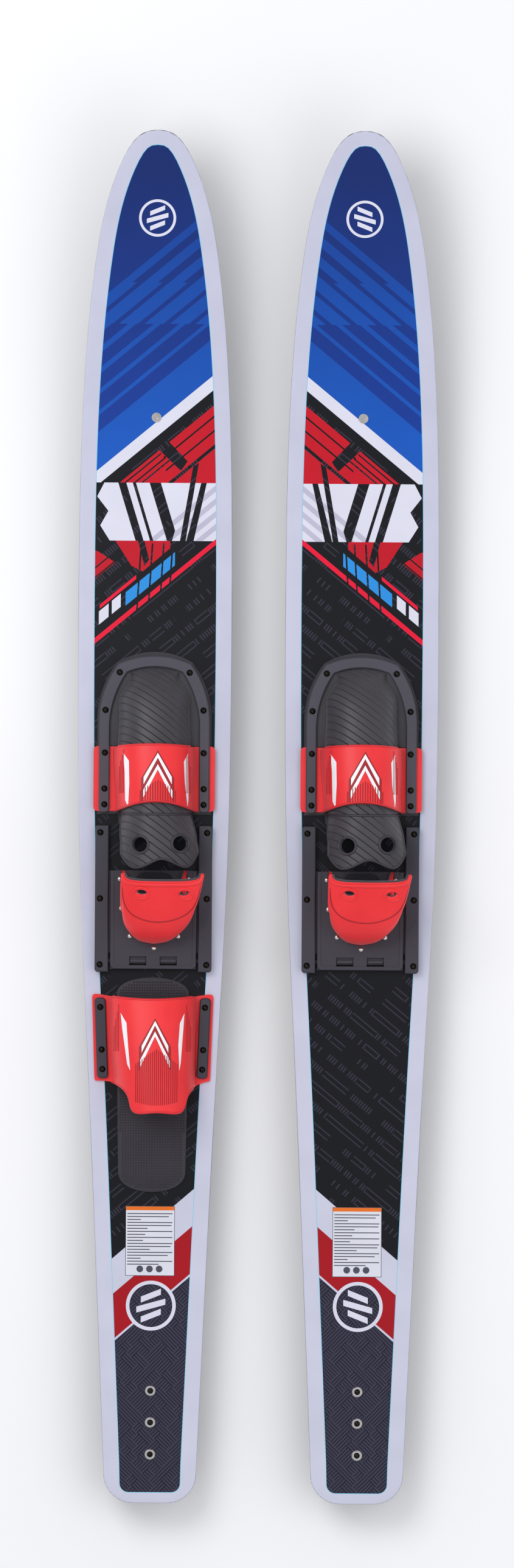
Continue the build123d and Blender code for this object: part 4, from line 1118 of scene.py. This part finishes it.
def gripPad():
    # crosshatched foam pad with elliptical ends, covered in small blunt studs
    pad = {"front": (45.2, -222.0), "back": (41.9, -438.0), "frontTip": -198.5, "backTip": -464.9,
           "top": 63.4, "thickness": 3.4, "studPitch": 3.3, "studRadius": 1.5, "studHeight": 0.7}
    centre = skiCentre["left"]
    (frontX, frontY), (backX, backY) = pad["front"], pad["back"]
    turn = np.radians(np.linspace(0, 180, 25))
    front = [(frontX * math.cos(t), frontY + (pad["frontTip"] - frontY) * math.sin(t) ** 0.8) for t in turn]
    back = [(-backX * math.cos(t), backY + (pad["backTip"] - backY) * math.sin(t) ** 0.8) for t in turn]
    loop = np.array(front + back)
    height = lambda plan: np.clip(loopDistance(plan, loop) / 1.5, 0, 1)

    def surface(plan, depth):
        fall = 0.9 * (1 - height(plan)) if depth == 0 else np.full(len(plan), pad["thickness"])
        return np.column_stack([plan, pad["top"] - fall])

    sheet = inlaidShell("rear_grip_pad", {
        "outline": loop, "rings": [insetLoop(loop, 1.5)], "step": 16.0, "material": "gripFoam",
        "thickness": pad["thickness"], "surface": surface}, centre)
    pitch = pad["studPitch"]
    columns, rows = np.arange(-15, 16) * pitch, np.arange(-141, -59) * pitch
    places = np.stack(np.meshgrid(columns, rows), -1).reshape(-1, 2)
    places = places[insideLoop(places, insetLoop(loop, 3.0))]
    points = np.column_stack([places + (centre, 0), np.full(len(places), pad["top"] - 0.05)])
    field = grownMesh("studs", studs, points, [], {
        "Stud Radius": pad["studRadius"] * mm, "Stud Height": pad["studHeight"] * mm,
        "Finish": made["gripFoam"]})
    return joinPieces("rear_grip_pad", [sheet, field])


rearBand, rearPad = rearStrapPiece(), gripPad()
standFor(rearBand, "left_ski", "left_rear_strap", "red_rubber")
standFor(rearPad, "left_ski", "left_rear_pad", "black_foam")
print("rear strap done")


# floor, light and camera

studio = {
    "floorSize": 6.0, "floorColour": "#fbfbfd", "worldColour": "#f4f5fa", "worldStrength": 0.70,
    "keyPower": 30.0, "keySize": 1.6, "keyPlace": (-1.1, 0.9, 2.6),
    "fillPower": 13.0, "fillSize": 2.2, "fillPlace": (1.5, -0.6, 2.4),
    "cameraHeight": 24.0, "lookAt": (-0.0008, 0.0422, 0.06), "viewHeight": 1.946, "roll": 0.37,
}
floorMaterial, floorTree, floorShader, floorPlace = startMaterial("paintedFloor", 0.9)
floorTone = mixColours(floorTree, cloudNoise(floorTree, floorPlace, 400), studio["floorColour"], "#ffffff")
floorTree.links.new(floorTone, floorShader.inputs["Base Color"])
half = studio["floorSize"] / 2
floorMesh = bpy.data.meshes.new("floor")
floorCorners = [(x * half, y * half, -0.0006) for x, y in ((-1, -1), (1, -1), (1, 1), (-1, 1))]
floorMesh.from_pydata(floorCorners, [], [(0, 1, 2, 3)])
floorMesh.materials.append(floorMaterial)
floor = bpy.data.objects.new("floor", floorMesh)
bpy.context.scene.collection.objects.link(floor)

world = bpy.data.worlds.new("studio")
bpy.context.scene.world = world
world.use_nodes = True
world.node_tree.nodes["Background"].inputs["Color"].default_value = linearColour(studio["worldColour"])
world.node_tree.nodes["Background"].inputs["Strength"].default_value = studio["worldStrength"]


def softBox(name, place, size, power):
    light = bpy.data.lights.new(name, "AREA")
    light.shape, light.size, light.energy = "SQUARE", size, power
    lamp = bpy.data.objects.new(name, light)
    bpy.context.scene.collection.objects.link(lamp)
    lamp.location = place
    lamp.rotation_euler = (-lamp.location).to_track_quat("-Z", "Y").to_euler()


softBox("keyLight", studio["keyPlace"], studio["keySize"], studio["keyPower"])
softBox("fillLight", studio["fillPlace"], studio["fillSize"], studio["fillPower"])

camera = bpy.data.objects.new("camera", bpy.data.cameras.new("camera"))
bpy.context.scene.collection.objects.link(camera)
lookX, lookY, lookZ = studio["lookAt"]
camera.location = (lookX, lookY, lookZ + studio["cameraHeight"])
camera.rotation_euler = (0, 0, math.radians(studio["roll"]))
camera.data.sensor_fit = "VERTICAL"
camera.data.angle_y = 2 * math.atan(studio["viewHeight"] / 2 / studio["cameraHeight"])
bpy.context.scene.camera = camera
bpy.context.scene.view_settings.view_transform = "Standard"
print("studio done")
